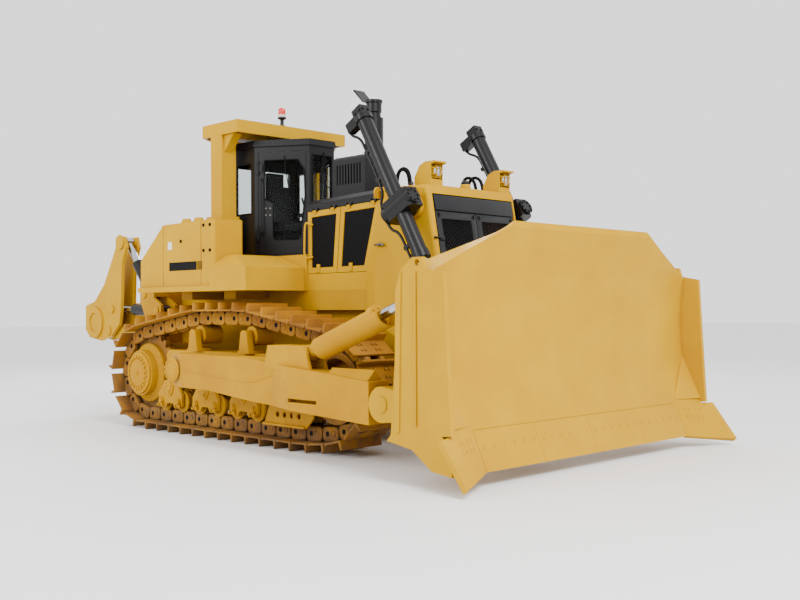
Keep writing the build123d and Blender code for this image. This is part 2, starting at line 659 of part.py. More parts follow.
def on_door_wall(outline, depth_low, depth_high, gap=0):
    """Plate from (distance, height) points, less a gap all round, between two depths in the door wall."""
    plane = Plane(
        (DOOR_START[0], DOOR_START[1], 0),
        x_dir=(DOOR_END[0] - DOOR_START[0], DOOR_END[1] - DOOR_START[1], 0),
        z_dir=(DOOR_END[1] - DOOR_START[1], -(DOOR_END[0] - DOOR_START[0]), 0),
    )
    face = make_face(Polyline(*[(s, z) for s, z in outline], close=True))
    if gap:
        face = offset(face, -gap, kind=Kind.INTERSECTION)
    return plane * (Pos(0, 0, depth_low) * extrude(face, amount=depth_high - depth_low))


def rectangle(low, high, sill, head):
    return [(low, sill), (high, sill), (high, head), (low, head)]


def cab_shell():
    """Six-sided cab: floor, pillars and low walls, open for its doors and windows."""
    plan = make_face(Polyline(*CAB_PLAN, close=True))
    room = offset(plan, -CAB_WALL, kind=Kind.INTERSECTION)
    shell = Pos(0, 0, CAB_FLOOR_Z) * extrude(plan, amount=CAB_ROOF_Z - CAB_FLOOR_Z)
    shell -= Pos(0, 0, CAB_FLOOR_Z + CAB_WALL) * extrude(room, amount=CAB_ROOF_Z - CAB_FLOOR_Z)
    through = CAB_WALL + 5
    opening = on_door_wall(rectangle(*DOOR_S, *DOOR_Z), -5, through)
    shell -= both(opening)
    x0, x1 = SIDE_WINDOW_X
    shell -= block((x0, x1), (-CAB_HALF - 1, CAB_HALF + 1), SIDE_WINDOW_Z)
    shell -= block((CAB_REAR_X - 1, CAB_REAR_X + through), (-REAR_WINDOW_Y, REAR_WINDOW_Y), SIDE_WINDOW_Z)
    shell -= block((CAB_FRONT_X - through, CAB_FRONT_X + 1), (-SCREEN_Y, SCREEN_Y), SCREEN_Z)
    edge = DOOR_S[0] + DOOR_GAP
    for height in HINGE_Z:
        for low, high in (
            (height - 35, height - FIT), (height + HINGE_LENGTH + FIT, height + HINGE_LENGTH + 35),
        ):
            bracket = on_door_wall(rectangle(20, DOOR_S[0], low, high), -HINGE_OUT - 8, 1)
            bracket += on_door_wall(rectangle(DOOR_S[0] - 1, edge, low, high), -HINGE_OUT - 8, -6)
            bracket += hinge_post(low, high)
            shell += bracket + mirrored(bracket)
    return shell


def cab_roof():
    """Roof cap with a small visor all round."""
    plan = make_face(Polyline(*CAB_PLAN, close=True))
    cap = offset(plan, 28, kind=Kind.INTERSECTION)
    return Pos(0, 0, CAB_ROOF_Z + FIT) * extrude(cap, amount=ROOF_HEIGHT, taper=12)


def cab_glass():
    """Windscreen, side panes and rear pane, each inside its opening."""
    (x0, x1), (z0, z1) = SIDE_WINDOW_X, SIDE_WINDOW_Z
    middle = CAB_WALL / 2
    side = block((x0 + FIT, x1 - FIT), (CAB_HALF - middle, CAB_HALF - middle + PANE), (z0 + FIT, z1 - FIT))
    rear = block(
        (CAB_REAR_X + middle, CAB_REAR_X + middle + PANE), (-REAR_WINDOW_Y + FIT, REAR_WINDOW_Y - FIT),
        (z0 + FIT, z1 - FIT)
    )
    screen = block(
        (CAB_FRONT_X - middle, CAB_FRONT_X - middle + PANE), (-SCREEN_Y + FIT, SCREEN_Y - FIT),
        (SCREEN_Z[0] + FIT, SCREEN_Z[1] - FIT),
    )
    return [*both(side), rear, screen]


def cab_door():
    """Door panel with its stepped window, two hinge knuckles and a handle."""
    s0, s1 = DOOR_S[0] + DOOR_GAP, DOOR_S[1] - DOOR_GAP
    z0, z1 = DOOR_Z[0] + DOOR_GAP, DOOR_Z[1] - DOOR_GAP
    door = on_door_wall(rectangle(s0, s1, z0, z1), 0, CAB_WALL)
    door -= on_door_wall(DOOR_WINDOW, -1, CAB_WALL + 1)
    for height in HINGE_Z:
        leaf = on_door_wall(rectangle(s0, s0 + 60, height, height + HINGE_LENGTH), -HINGE_OUT, 1)
        door += leaf + hinge_post(height, height + HINGE_LENGTH)
    return door + on_door_wall(rectangle(s1 - 45, s1 - 20, 2620, 2730), -40, 1)


def door_hinge():
    """The left door's hinge axis, seen from above."""
    ux, uy = [(b - a) / DOOR_WALL for a, b in zip(DOOR_START, DOOR_END)]
    s = DOOR_S[0] + DOOR_GAP
    return (DOOR_START[0] + ux * s - uy * HINGE_OUT, DOOR_START[1] + uy * s + ux * HINGE_OUT)


def hinge_post(low, high):
    x, y = door_hinge()
    return Pos(x, y, low) * Cylinder(HINGE_R, high - low, align=(Align.CENTER, Align.CENTER, Align.MIN))


def door_glass():
    return on_door_wall(DOOR_WINDOW, CAB_WALL / 2 - PANE / 2, CAB_WALL / 2 + PANE / 2, FIT)


def seat():
    """Operator's seat on its base, with backrest, headrest and armrests."""
    floor = CAB_FLOOR_Z + CAB_WALL + FIT
    x = -900
    base = block((x, x + 360), (-180, 180), (floor, floor + 330))
    cushion = block((x - 40, x + 470), (-260, 260), (floor + 330, floor + 450))
    back = side_plate(
        [(x - 60, floor + 400), (x + 60, floor + 400), (x - 20, floor + 980), (x - 120, floor + 980)], -240,
        240
    )
    head = block((x - 120, x - 40), (-130, 130), (floor + 960, floor + 1160))
    arm = block((x - 20, x + 330), (265, 335), (floor + 560, floor + 610))
    prop = block((x - 20, x + 40), (250, 300), (floor + 420, floor + 565))
    return base + cushion + back + head + arm + prop + mirrored(arm + prop)


def console():
    """Control console ahead of the seat with two levers."""
    floor = CAB_FLOOR_Z + CAB_WALL + FIT
    desk = side_plate(
        [(-260, floor), (-60, floor), (-60, floor + 560), (-150, floor + 600), (-200, floor + 520)], -150,
        150
    )
    for y in (-95, 95):
        desk += bar((-175, floor + 560), (-260, floor + 760), y, 14)
    return desk


# ---- Engine bay ------------------------------------------------------------------------------------------
HOOD_SLOPE = (HOOD_FRONT_Z - HOOD_REAR_Z) / (HOOD_FRONT_X - HOOD_REAR_X)
HOOD_SKIN = 30
LEAF_OUT = 12  # engine doors' hinge line, outwards from their faces
LEAF_R = 8
LEAF_HALF = 30
LEAF_GAP = 0.5  # between a door's knuckle and the hood's
SEAM_GAP = 12  # between the two doors of a side
REAR_HINGE_X = (640, 980)
FRONT_HINGE_X = (1270, 1700)


def hood_z(x, below=0):
    """Height of the hood's top line at x, less a drop."""
    return HOOD_REAR_Z + (x - HOOD_REAR_X) * HOOD_SLOPE - below


def hinge_plane(x):
    """Plane square to the doors' hinge line at x: its x runs outwards and its y runs up."""
    y, z = HOOD_HALF + LEAF_OUT, hood_z(x, HOOD_BAND + DOOR_GAP)
    return Plane(origin=(x, y, z), x_dir=(0, 1, 0), z_dir=(1, 0, HOOD_SLOPE))


def on_hinge_line(section, x_low, x_high):
    """A bar along the doors' hinge line, from (outwards, up) points counted from that line."""
    face = hinge_plane(x_low) * make_face(Polyline(*section, close=True))
    return extrude(face, amount=(x_high - x_low) * math.hypot(1, HOOD_SLOPE))


def hinge_round(x_low, x_high):
    face = hinge_plane(x_low) * Circle(LEAF_R)
    return extrude(face, amount=(x_high - x_low) * math.hypot(1, HOOD_SLOPE))


def hood():
    """Black top cover: a shallow channel with chamfered long edges and the doors' hinge brackets."""
    rear, front = HOOD_REAR_X, HOOD_FRONT_X
    cover = side_plate(
        [(rear, hood_z(rear, HOOD_BAND)), (rear, hood_z(rear)), (front, hood_z(front)),
         (front, hood_z(front, HOOD_BAND))],
        -HOOD_HALF, HOOD_HALF,
    )
    shoulders = [
        e for e in cover.edges()
        if abs(abs(e.center().Y) - HOOD_HALF) < 1 and e.length > 500 and e.center().Z > hood_z(1168,
         HOOD_BAND / 2)
    ]
    cover = chamfer(shoulders, 50)
    skin, low = HOOD_SKIN, HOOD_BAND + 30
    cover -= side_plate(
        [(rear - 1, hood_z(rear, low)), (rear - 1, hood_z(rear, skin)), (front + 1, hood_z(front, skin)),
         (front + 1, hood_z(front, low))], -HOOD_HALF + DOOR_SKIN, HOOD_HALF - DOOR_SKIN,
    )
    bracket = [
        (-LEAF_OUT - 1, DOOR_GAP), (-LEAF_OUT - 1, 34), (0, 34), (LEAF_R, 20), (LEAF_R, 0), (-LEAF_R, 0),
               (-LEAF_R, DOOR_GAP)]
    for x in REAR_HINGE_X + FRONT_HINGE_X:
        for low_x, high_x in ((x - 60, x - LEAF_HALF - LEAF_GAP), (x + LEAF_HALF + LEAF_GAP, x + 60)):
            knuckle = on_hinge_line(bracket, low_x, high_x) + hinge_round(low_x, high_x)
            cover += knuckle + mirrored(knuckle)
    return cover


def engine_bay():
    """Low side walls and rear bulkhead round the engine."""
    base = FENDER_BOTTOM_Z
    wall = side_plate(
        [(HOOD_REAR_X, base), (HULL_STEP_X, base), (HULL_STEP_X, SILL_Z), (HOOD_REAR_X, SILL_Z)],
        HOOD_HALF - DOOR_SKIN, HOOD_HALF,
    )
    x = (HOOD_REAR_X, HOOD_REAR_X + DOOR_SKIN)
    inner = HOOD_HALF - DOOR_SKIN
    bulkhead = block(x, (-inner - 1, inner + 1), (base, SILL_Z))
    bulkhead += block(x, (-inner + 12, inner - 12), (base, hood_z(HOOD_REAR_X, HOOD_SKIN + FIT)))
    return wall + mirrored(wall) + bulkhead


def engine():
    """Engine as one plain block on the hull."""
    return block((640, HULL_STEP_X - 20), (-330, 330), (FENDER_BOTTOM_Z, 2620))


def radiator():
    return block((2120, 2320), (-600, 600), (HULL_NOSE_Z + FIT, 2880))




def seam_x(z, gap=0):
    """The slanting seam between the two doors of a side."""
    return 1044 + (z - SILL_Z) * 79 / 827 + gap


def engine_door(outline, low_x, hinges):
    """Side door hung from the hood's edge, with a recessed screen and a latch tab at its foot."""
    y0, y1 = HOOD_HALF - DOOR_SKIN, HOOD_HALF
    door = side_plate(outline, y0, y1)
    rim = make_face(Polyline(*[(x, y1 - 14, z) for x, z in outline], close=True))
    screen = offset(rim, -68, kind=Kind.INTERSECTION)
    door -= extrude(screen, amount=20, dir=(0, 1, 0))
    sill = min(z for _, z in outline)
    leaf = [(-LEAF_OUT - 1, -34), (-LEAF_OUT - 1, 0), (0, 0), (LEAF_R, -8), (0, -34)]
    for x in hinges:
        span = (x - LEAF_HALF, x + LEAF_HALF)
        door += on_hinge_line(leaf, *span) + hinge_round(*span)
    return door + block((low_x - 30, low_x + 30), (y1 - 1, y1 + 8), (sill + 8, sill + 110))


def rear_engine_door():
    sill, rear, top = SILL_Z + DOOR_GAP, HOOD_REAR_X + DOOR_GAP, HOOD_BAND + DOOR_GAP
    front = seam_x(2850, -SEAM_GAP / 2)
    outline = [
        (rear, sill), (seam_x(sill, -SEAM_GAP / 2), sill), (front, hood_z(front, top)),
        (rear, hood_z(rear, top)),
    ]
    return engine_door(outline, 700, REAR_HINGE_X)


def front_engine_door():
    sill, top = SILL_Z + DOOR_GAP, HOOD_BAND + DOOR_GAP
    rear, front = seam_x(2850, SEAM_GAP / 2), HOOD_FRONT_X - 25
    outline = [
        (seam_x(sill, SEAM_GAP / 2), sill), (HULL_STEP_X - 5, sill), (front, hood_z(front, top)),
        (rear, hood_z(rear, top)),
    ]
    return engine_door(outline, 1300, FRONT_HINGE_X)


# ---- Nose ------------------------------------------------------------------------------------------------
def nose_x(z, behind=0):
    """The guard's front face at height z, less a distance behind it."""
    return NOSE_TOP[0] + (NOSE_TOP[1] - z) * NOSE_SLOPE - behind


GRILLE_Z = (1520, 2880)
GRILLE_HALF = 690


def radiator_guard():
    """Thick cheeks, roof and front frame round the radiator."""
    rear = HOOD_FRONT_X + FIT
    cheek_outline = [
        (rear, hood_z(HOOD_FRONT_X)), NOSE_TOP, NOSE_LOW, (2600, 1100), (HULL_STEP_X + 10, 1576),
        (HULL_STEP_X + 10, SILL_Z), (rear, hood_z(rear, HOOD_BAND)),
    ]
    cheek = side_plate(cheek_outline, GRILLE_HALF, GUARD_HALF)
    shoulder = [
        e for e in cheek.edges()
        if abs(e.center().Y - GUARD_HALF) < 1 and e.center().Z > 2000 and e.center().X > rear + 100
    ]
    cheek = fillet(shoulder, 50)
    foot, flare = HULL_STEP_X + 10, (HOOD_HALF + 4, 250)
    slant = (rear - foot) / (hood_z(rear, HOOD_BAND) - SILL_Z)
    wide = [
        (foot, 1000), (foot + flare[1], 1000), (foot + flare[1], SILL_Z),
        (rear + flare[1], hood_z(HOOD_FRONT_X)),
            (rear, hood_z(HOOD_FRONT_X)), (rear, hood_z(rear, HOOD_BAND)), (foot, SILL_Z)]
    cheek += side_plate(cheek_outline, flare[0], GRILLE_HALF + 1) & side_plate(
        wide, flare[0], GRILLE_HALF + 1,
    )
    lip = 20  # flat rear edge left at the flare's inner side
    corner = [(foot - 1, flare[0] + lip), (foot + flare[1], GUARD_HALF + 2), (foot - 1, GUARD_HALF + 2)]
    cheek -= floor_plate(corner, 1000, SILL_Z + 1)
    cheek -= extrude(
        make_face(Polyline(*[(x, y, SILL_Z) for x, y in corner], close=True)),
        amount=1100 * math.hypot(1, slant),
        dir=(slant, 0, 1),
    )
    cheek += pin(LIFT_TRUNNION, GUARD_HALF - 1, GUARD_HALF + BOSS_OUT, 135)
    cheek -= pin(LIFT_TRUNNION, GUARD_HALF - BOSS_DEPTH, GUARD_HALF + BOSS_OUT + 1, LIFT_PIN_R + FIT)
    roof = side_plate(
        [(rear, hood_z(HOOD_FRONT_X, 45)), (rear, hood_z(HOOD_FRONT_X)), NOSE_TOP,
         (nose_x(GRILLE_Z[1]), GRILLE_Z[1]),
         (nose_x(GRILLE_Z[1], 90), GRILLE_Z[1]), (NOSE_TOP[0] - 90, NOSE_TOP[1] - 45)], -GRILLE_HALF - 1,
         GRILLE_HALF + 1,
    )
    bumper = side_plate(
        [(nose_x(GRILLE_Z[0]), GRILLE_Z[0]), NOSE_LOW, (HULL_NOSE_X + FIT, NOSE_LOW[1] - 130),
         (HULL_NOSE_X + FIT, GRILLE_Z[0] - 120), (nose_x(GRILLE_Z[0], 90), GRILLE_Z[0])], -GRILLE_HALF - 1,
         GRILLE_HALF + 1,
    )
    return cheek + mirrored(cheek) + roof + bumper


GRILLE_SKIN = 40
BAND_Z = 2694  # lower edge of the plain band at the grille's head


def grille():
    """Grille frame with a plain head band and two louvred doors."""
    z0, z1 = GRILLE_Z[0] + FIT, GRILLE_Z[1] - FIT
    half = GRILLE_HALF - FIT
    panel = side_plate(
        [(nose_x(z0, GRILLE_SKIN), z0), (nose_x(z0, 5), z0), (nose_x(z1, 5), z1),
         (nose_x(z1, GRILLE_SKIN), z1)], -half, half
    )
    band = side_plate(
        [(nose_x(BAND_Z, 6), BAND_Z), (nose_x(BAND_Z, -10), BAND_Z), (nose_x(z1, -10), z1 - 8),
         (nose_x(z1, 6), z1 - 8)],
        -half + 20, half - 20,
    )
    panel += band
    slots = 13
    low, high = z0 + 70, BAND_Z - 70
    step = (high - low) / slots
    for i in range(slots):
        z = low + i * step
        cut = side_plate(
            [(nose_x(z, GRILLE_SKIN + 9), z), (nose_x(z, -9), z),
             (nose_x(z + step * 0.6, -9), z + step * 0.6),
             (nose_x(z + step * 0.6, GRILLE_SKIN + 9), z + step * 0.6)], 55, half - 75,
        )
        panel -= both(cut)
    return panel


LAMP_Y = 588
LAMP_Z = 3138
LAMP_X = 2630


def roof_z(x):
    """Height of the guard's roof at x."""
    return NOSE_TOP[1] + (NOSE_TOP[0] - x) * (HOOD_FRONT_Z - NOSE_TOP[1]) / (NOSE_TOP[0] - HOOD_FRONT_X)


def headlamp():
    """Hooded lamp on the guard's roof: housing with a sloping brow and a round lens."""
    x0, half = LAMP_X, 98
    shell = side_plate(
        [(x0 - 195, roof_z(x0 - 195) + FIT), (x0 + 55, roof_z(x0 + 55) + FIT), (x0 + 55, LAMP_Z + 65),
         (x0 + 120, LAMP_Z + 82), (x0 + 115, LAMP_Z + 100), (x0 - 30, LAMP_Z + 100),
         (x0 - 115, LAMP_Z + 62),
         (x0 - 195, LAMP_Z - 60)], LAMP_Y - half, LAMP_Y + half,
    )
    lens = Plane((x0 + 54, LAMP_Y, LAMP_Z - 10), z_dir=(1, 0, 0)) * Cylinder(68, 30)
    return shell + lens


# ---- Exhaust, air box and beacon -------------------------------------------------------------------------
EXHAUST = (830, 215)
EXHAUST_R = 100
EXHAUST_TOP = 4300
AIR_BOX_X = (645, 1240)
AIR_BOX_Y = (-330, 85)
AIR_BOX_TOP = 3525
BEACON = (-640, -130)


def exhaust():
    """Upright pipe with a wide foot, a flared joint and a hinged rain flap at the top."""
    x, y = EXHAUST
    base, joint = hood_z(x) + 5, EXHAUST_TOP - 230
    profile = [
        (0, base), (EXHAUST_R + 20, base), (EXHAUST_R + 20, joint), (EXHAUST_R - 12, joint),
        (EXHAUST_R - 12, joint + 60),
        (EXHAUST_R, joint + 75), (EXHAUST_R, EXHAUST_TOP - 45), (EXHAUST_R + 12, EXHAUST_TOP - 35),
        (EXHAUST_R + 12, EXHAUST_TOP), (EXHAUST_R - 22, EXHAUST_TOP), (EXHAUST_R - 22, joint), (0, joint),
    ]
    outline = Polyline(*[(x + r, y, z) for r, z in profile], close=True)
    pipe = revolve(make_face(outline), axis=Axis((x, y, 0), (0, 0, 1)))
    flange = block((x - 150, x + 150), (y - 112, y + 112), (base + 2, base + 20))
    lid = side_plate(
        [(x - EXHAUST_R - 20, EXHAUST_TOP - 20), (x - EXHAUST_R, EXHAUST_TOP - 20),
         (x - EXHAUST_R - 185, EXHAUST_TOP + 172),
         (x - EXHAUST_R - 205, EXHAUST_TOP + 160)], y - 90, y + 90,
    )
    return pipe + flange + lid


def air_box():
    """Louvred box on the hood, rounded at its top edges."""
    (x0, x1), (y0, y1) = AIR_BOX_X, AIR_BOX_Y
    box = side_plate(
        [(x0, hood_z(x0) + FIT), (x0, AIR_BOX_TOP), (x1, AIR_BOX_TOP), (x1, hood_z(x1) + FIT)], y0, y1
    )
    crown = [e for e in box.edges() if e.center().Z > AIR_BOX_TOP - 1]
    box = fillet(crown, 60)
    slots = 9
    step = (x1 - x0 - 120) / slots
    for i in range(slots):
        x = x0 + 60 + i * step
        box -= block((x + 12, x + step - 18), (y0 - 1, y0 + 22), (AIR_BOX_TOP - 360, AIR_BOX_TOP - 110))
    return box


def beacon():
    """Warning beacon on a short stand on the canopy."""
    x, y = BEACON
    top = CANOPY_Z[1] + FIT
    profile = [
        (0, 0), (55, 0), (55, 18), (26, 30), (26, 95), (62, 110), (62, 135), (55, 140), (55, 225),
        (38, 262), (0, 265),
    ]
    outline = Polyline(*[(x + r, y, top + z) for r, z in profile], close=True)
    return revolve(make_face(outline), axis=Axis((x, y, 0), (0, 0, 1)))


# ---- Blade lift ------------------------------------------------------------------------------------------
def lift_axis(distance):
    """Place on a lift cylinder's axis, from the trunnion towards the rod's eye."""
    return along(LIFT_TRUNNION, LIFT_EYE, distance)


YOKE_HALF = 205  # half of the yoke's width, front to back
YOKE_REACH = 115  # half of its length along the cylinder
YOKE_Y = (LIFT_Y - 120, LIFT_Y + 92)
BOSS_OUT = 50  # the guard's bearing boss, outwards from its cheek
BOSS_DEPTH = 30  # and the shaft's hole, inwards from the cheek's face


def beside_lift(ahead, out):
    """Place beside a lift cylinder: distance from its trunnion to the eye's side, and to its front."""
    x, z = lift_axis(ahead)
    span = math.dist(LIFT_TRUNNION, LIFT_EYE)
    ux, uz = (LIFT_EYE[0] - LIFT_TRUNNION[0]) / span, (LIFT_EYE[1] - LIFT_TRUNNION[1]) / span
    return (x - uz * out, z + ux * out)


def lift_box(ahead, out, y):
    """Block square to a lift cylinder, from ranges along it, to its front and in y."""
    corners = [(ahead[0], out[0]), (ahead[1], out[0]), (ahead[1], out[1]), (ahead[0], out[1])]
    return side_plate([beside_lift(*corner) for corner in corners], *y)


def lift_yoke():
    """Swivel block round the cylinder: trunnion caps front and back, and a shaft into the guard's boss."""
    front, middle = beside_lift(0, 1), lift_axis(0)
    facing = (front[0] - middle[0], 0, front[1] - middle[1])
    yoke = lift_box((-YOKE_REACH, YOKE_REACH), (-YOKE_HALF, YOKE_HALF), YOKE_Y)
    upright = [
        e for e in yoke.edges() if abs(e.center().Y - YOKE_Y[1]) < 1 and e.length < 2 * YOKE_REACH + 1
    ]
    yoke = chamfer(upright, 45)
    yoke += Plane((middle[0], LIFT_Y, middle[1]), z_dir=facing) * Cylinder(98, 2 * YOKE_HALF + 50)
    yoke -= bar(lift_axis(-YOKE_REACH - 1), lift_axis(YOKE_REACH + 1), LIFT_Y, LIFT_BARREL_R + FIT)
    yoke += pin(LIFT_TRUNNION, GUARD_HALF + BOSS_OUT + MOVE_GAP, YOKE_Y[0] + 1, 110)
    return yoke + pin(LIFT_TRUNNION, GUARD_HALF - BOSS_DEPTH + 2, YOKE_Y[0] + 1, LIFT_PIN_R)


def lift_barrel():
    """Barrel with its gland, and a head block whose port arm reaches to the back."""
    cap, gland = lift_axis(-LIFT_CAP), lift_axis(LIFT_GLAND)
    body = bar(cap, gland, LIFT_Y, LIFT_BARREL_R)
    body += bar(lift_axis(-LIFT_CAP - 5), lift_axis(-LIFT_CAP + 60), LIFT_Y, LIFT_BARREL_R + 16)
    body += bar(lift_axis(LIFT_GLAND - 70), lift_axis(LIFT_GLAND + 20), LIFT_Y, LIFT_BARREL_R + 10)
    body += lift_box((-LIFT_CAP - 115, -LIFT_CAP + 1), (-78, 78), (LIFT_Y - 70, LIFT_Y + 70))
    body += lift_box((-LIFT_CAP - 60, -LIFT_CAP + 60), (-250, -60), (LIFT_Y - 52, LIFT_Y + 52))
    return body - bar(lift_axis(-LIFT_CAP + 120), lift_axis(LIFT_GLAND + 21), LIFT_Y, LIFT_ROD_R + FIT)


def lift_rod():
    """Rod up inside the barrel, with the eye and pin that the blade's ears hold."""
    reach = math.dist(LIFT_TRUNNION, LIFT_EYE)
    rod = bar(lift_axis(-LIFT_INSIDE), lift_axis(reach - EYE_R + 20), LIFT_Y, LIFT_ROD_R)
    rod += pin(LIFT_EYE, LIFT_Y - EYE_HALF, LIFT_Y + EYE_HALF, EYE_R)
    return rod + pin(LIFT_EYE, LIFT_Y - EYE_HALF - 12, LIFT_Y + EYE_HALF + 12, 50)


LIFT_INSIDE = 0  # rod's inner end at rest, beyond the trunnion towards the cap
EAR_GAP = EYE_HALF + 20  # inner face of a blade ear, from the rod's plane


# ---- Push arms and tilt cylinders ------------------------------------------------------------------------
ARM_FRONT_X = 3110
ARM_END_R = 205
TONGUE_HALF = 60
TONGUE_Y = ARM_OUT_Y - 60
LUG_R = 174
HINGE_PIN_R = 55


def push_arm():
    """Box arm from its trunnion cap to the blade's hinge, with creases, bracket, guard and step slot."""
    px, pz = ARM_PIVOT
    side = [
        (px, pz - ARM_END_R), (250, 660), (1142, 583), (2020, 532), (ARM_FRONT_X, 480), (ARM_FRONT_X, 902),
        (2504, 953),
        (1804, 1002), (958, 1070), (px, pz + ARM_END_R),
    ]
    plan = [
        (px - ARM_END_R - 10, ARM_IN_Y), (1500, ARM_IN_Y), (1850, ARM_IN_Y + 50),
        (ARM_FRONT_X + 1, ARM_IN_Y + 50),
        (ARM_FRONT_X + 1, ARM_OUT_Y + 70), (1850, ARM_OUT_Y + 70), (1500, ARM_OUT_Y), (-300, ARM_OUT_Y),
        (px - ARM_END_R - 10, ARM_OUT_Y - 90),
    ]
    arm = side_plate(side, ARM_IN_Y, ARM_OUT_Y + 70) + pin(ARM_PIVOT, ARM_IN_Y, ARM_OUT_Y + 70, ARM_END_R)
    arm = arm & floor_plate(plan, 0, 2000)
    arm -= turned(
        [(ARM_IN_Y - 1, 0), (ARM_IN_Y - 1, 96), (ARM_IN_Y + 195, 96), (ARM_IN_Y + 195, 0)], ARM_PIVOT,
    )
    root_x = ARM_FRONT_X - 20
    tongue = (TONGUE_Y - TONGUE_HALF, TONGUE_Y + TONGUE_HALF)
    arm += ear(BLADE_HINGE, (root_x, 850), (root_x, 540), LUG_R - 10, *tongue)
    arm -= pin(BLADE_HINGE, TONGUE_Y - TONGUE_HALF - 1, TONGUE_Y + TONGUE_HALF + 1, HINGE_PIN_R + FIT)
    bx, bz = TILT_BASE
    cheek = [(1380, 1010), (1440, 1222), (bx + 85, 1228), (bx + 125, bz), (bx + 180, 960), (1500, 960)]
    for y in (TILT_Y - TILT_EAR - TILT_CHEEK, TILT_Y + TILT_EAR):
        plate = side_plate(cheek, y, y + TILT_CHEEK)
        arm += plate - pin(TILT_BASE, y - 1, y + TILT_CHEEK + 1, TILT_PIN_R + FIT)
    arm += side_plate(
        [(1380, 1010), (1440, 1222), (1700, 1224), (1700, 980)], TILT_Y - TILT_EAR - 1,
        TILT_Y + TILT_EAR + 1,
    )
    # angle-iron guard on the arm's top near its front
    guard = side_plate([(2420, 925), (3080, 880), (3080, 905), (2420, 958)], TILT_Y - 60, TILT_Y + 150)
    ridge = cross_plate([(TILT_Y - 60, 900), (TILT_Y + 150, 900), (TILT_Y + 45, 1010)], 2420, 3060)
    # step slot in the outer face: a framed recess
    y = ARM_OUT_Y + 70
    arm += guard + ridge
    arm -= block((1850, 2320), (y - 90, y + 1), (628, 668))
    return arm


TILT_EAR = 90  # inner face of a bracket plate, from the cylinder's plane
TILT_CHEEK = 40
TILT_PIN_R = 45
TILT_EYE_R = 88


def tilt_barrel():
    """Barrel with its base eye, gland and the half-round guard under it."""
    start = along(TILT_BASE, TILT_EYE, 200)
    gland = along(TILT_BASE, TILT_EYE, TILT_GLAND)
    body = bar(start, gland, TILT_Y, TILT_BARREL_R)
    body += bar(TILT_BASE, along(TILT_BASE, TILT_EYE, 201), TILT_Y, 75)
    body += bar(
        along(TILT_BASE, TILT_EYE, TILT_GLAND - 60), along(TILT_BASE, TILT_EYE, TILT_GLAND + 25), TILT_Y,
                TILT_BARREL_R + 20)
    body += pin(TILT_BASE, TILT_Y - TILT_EAR + MOVE_GAP, TILT_Y + TILT_EAR - MOVE_GAP, TILT_EYE_R)
    body += pin(TILT_BASE, TILT_Y - TILT_EAR - TILT_CHEEK, TILT_Y + TILT_EAR + TILT_CHEEK, TILT_PIN_R)
    guard_start = along(TILT_BASE, TILT_EYE, 250)
    guard_end = along(TILT_BASE, TILT_EYE, TILT_GLAND + 120)
    cover = bar(guard_start, guard_end, TILT_Y, TILT_BARREL_R + 45)
    cover -= bar(
        along(TILT_BASE, TILT_EYE, 240), along(TILT_BASE, TILT_EYE, TILT_GLAND + 130), TILT_Y,
        TILT_BARREL_R + 22,
    )
    rise = (TILT_EYE[1] - TILT_BASE[1]) / (TILT_EYE[0] - TILT_BASE[0])
    above = [
        (1500, TILT_BASE[1] - 474 * rise + 15), (4000, TILT_BASE[1] + 2026 * rise + 15), (4000, 2400),
        (1500, 2400),
    ]
    cover -= side_plate(above, TILT_Y - 300, TILT_Y + 300)
    strut = bar(
        along(TILT_BASE, TILT_EYE, 300), along(TILT_BASE, TILT_EYE, 420), TILT_Y, TILT_BARREL_R + 30,
    )
    strut -= side_plate(above, TILT_Y - 300, TILT_Y + 300)
    return (body + cover + strut) - bar(
        along(TILT_BASE, TILT_EYE, 400), along(TILT_BASE, TILT_EYE, TILT_GLAND + 200), TILT_Y,
        TILT_ROD_R + FIT
    )


def tilt_rod():
    reach = math.dist(TILT_BASE, TILT_EYE)
    rod = bar(along(TILT_BASE, TILT_EYE, 700), along(TILT_BASE, TILT_EYE, reach - 60), TILT_Y, TILT_ROD_R)
    rod += pin(TILT_EYE, TILT_Y - 60, TILT_Y + 60, 80)
    return rod + pin(TILT_EYE, TILT_Y - 72, TILT_Y + 72, 42)


# ---- Blade -----------------------------------------------------------------------------------------------
def face_x(z, behind=0):
    """The blade face's x at height z, at a depth behind the face."""
    cx, cz = FACE_CENTRE
    return cx - math.sqrt((FACE_RADIUS + behind) ** 2 - (z - cz) ** 2)


def edge_spot(up, behind):
    """Place on the cutting edge's section: distance up its face, and behind it."""
    length = math.dist(EDGE_FOOT, EDGE_HEAD)
    ux, uz = (EDGE_HEAD[0] - EDGE_FOOT[0]) / length, (EDGE_HEAD[1] - EDGE_FOOT[1]) / length
    return (EDGE_FOOT[0] + ux * up - uz * behind, EDGE_FOOT[1] + uz * up + ux * behind)


def bit_section(foot, head, skin, grow=0):
    """End bit's section (x, z): face line from foot to head, and its back."""
    length = math.dist(foot, head)
    ux, uz = (head[0] - foot[0]) / length, (head[1] - foot[1]) / length

    def spot(up, behind):
        return (foot[0] + ux * up - uz * behind, foot[1] + uz * up + ux * behind)

    return [
        spot(-grow, -grow), spot(length + grow, -grow), spot(length + grow, skin + grow),
        spot(-grow, skin + grow),
    ]


def end_bit(grow=0):
    """Corner bit: a thick plate that kicks forward and outward from the cutting edge."""
    sections = []
    for y, foot, head in (
        (EDGE_HALF + 3 - grow, EDGE_FOOT, EDGE_HEAD),
        (BIT_OUT_Y + grow, BIT_FOOT, BIT_HEAD),
    ):
        corners = [(x, y, z) for x, z in bit_section(foot, head, BIT_SKIN, grow)]
        sections.append(make_face(Polyline(*corners, close=True)))
    return loft(sections, ruled=True)


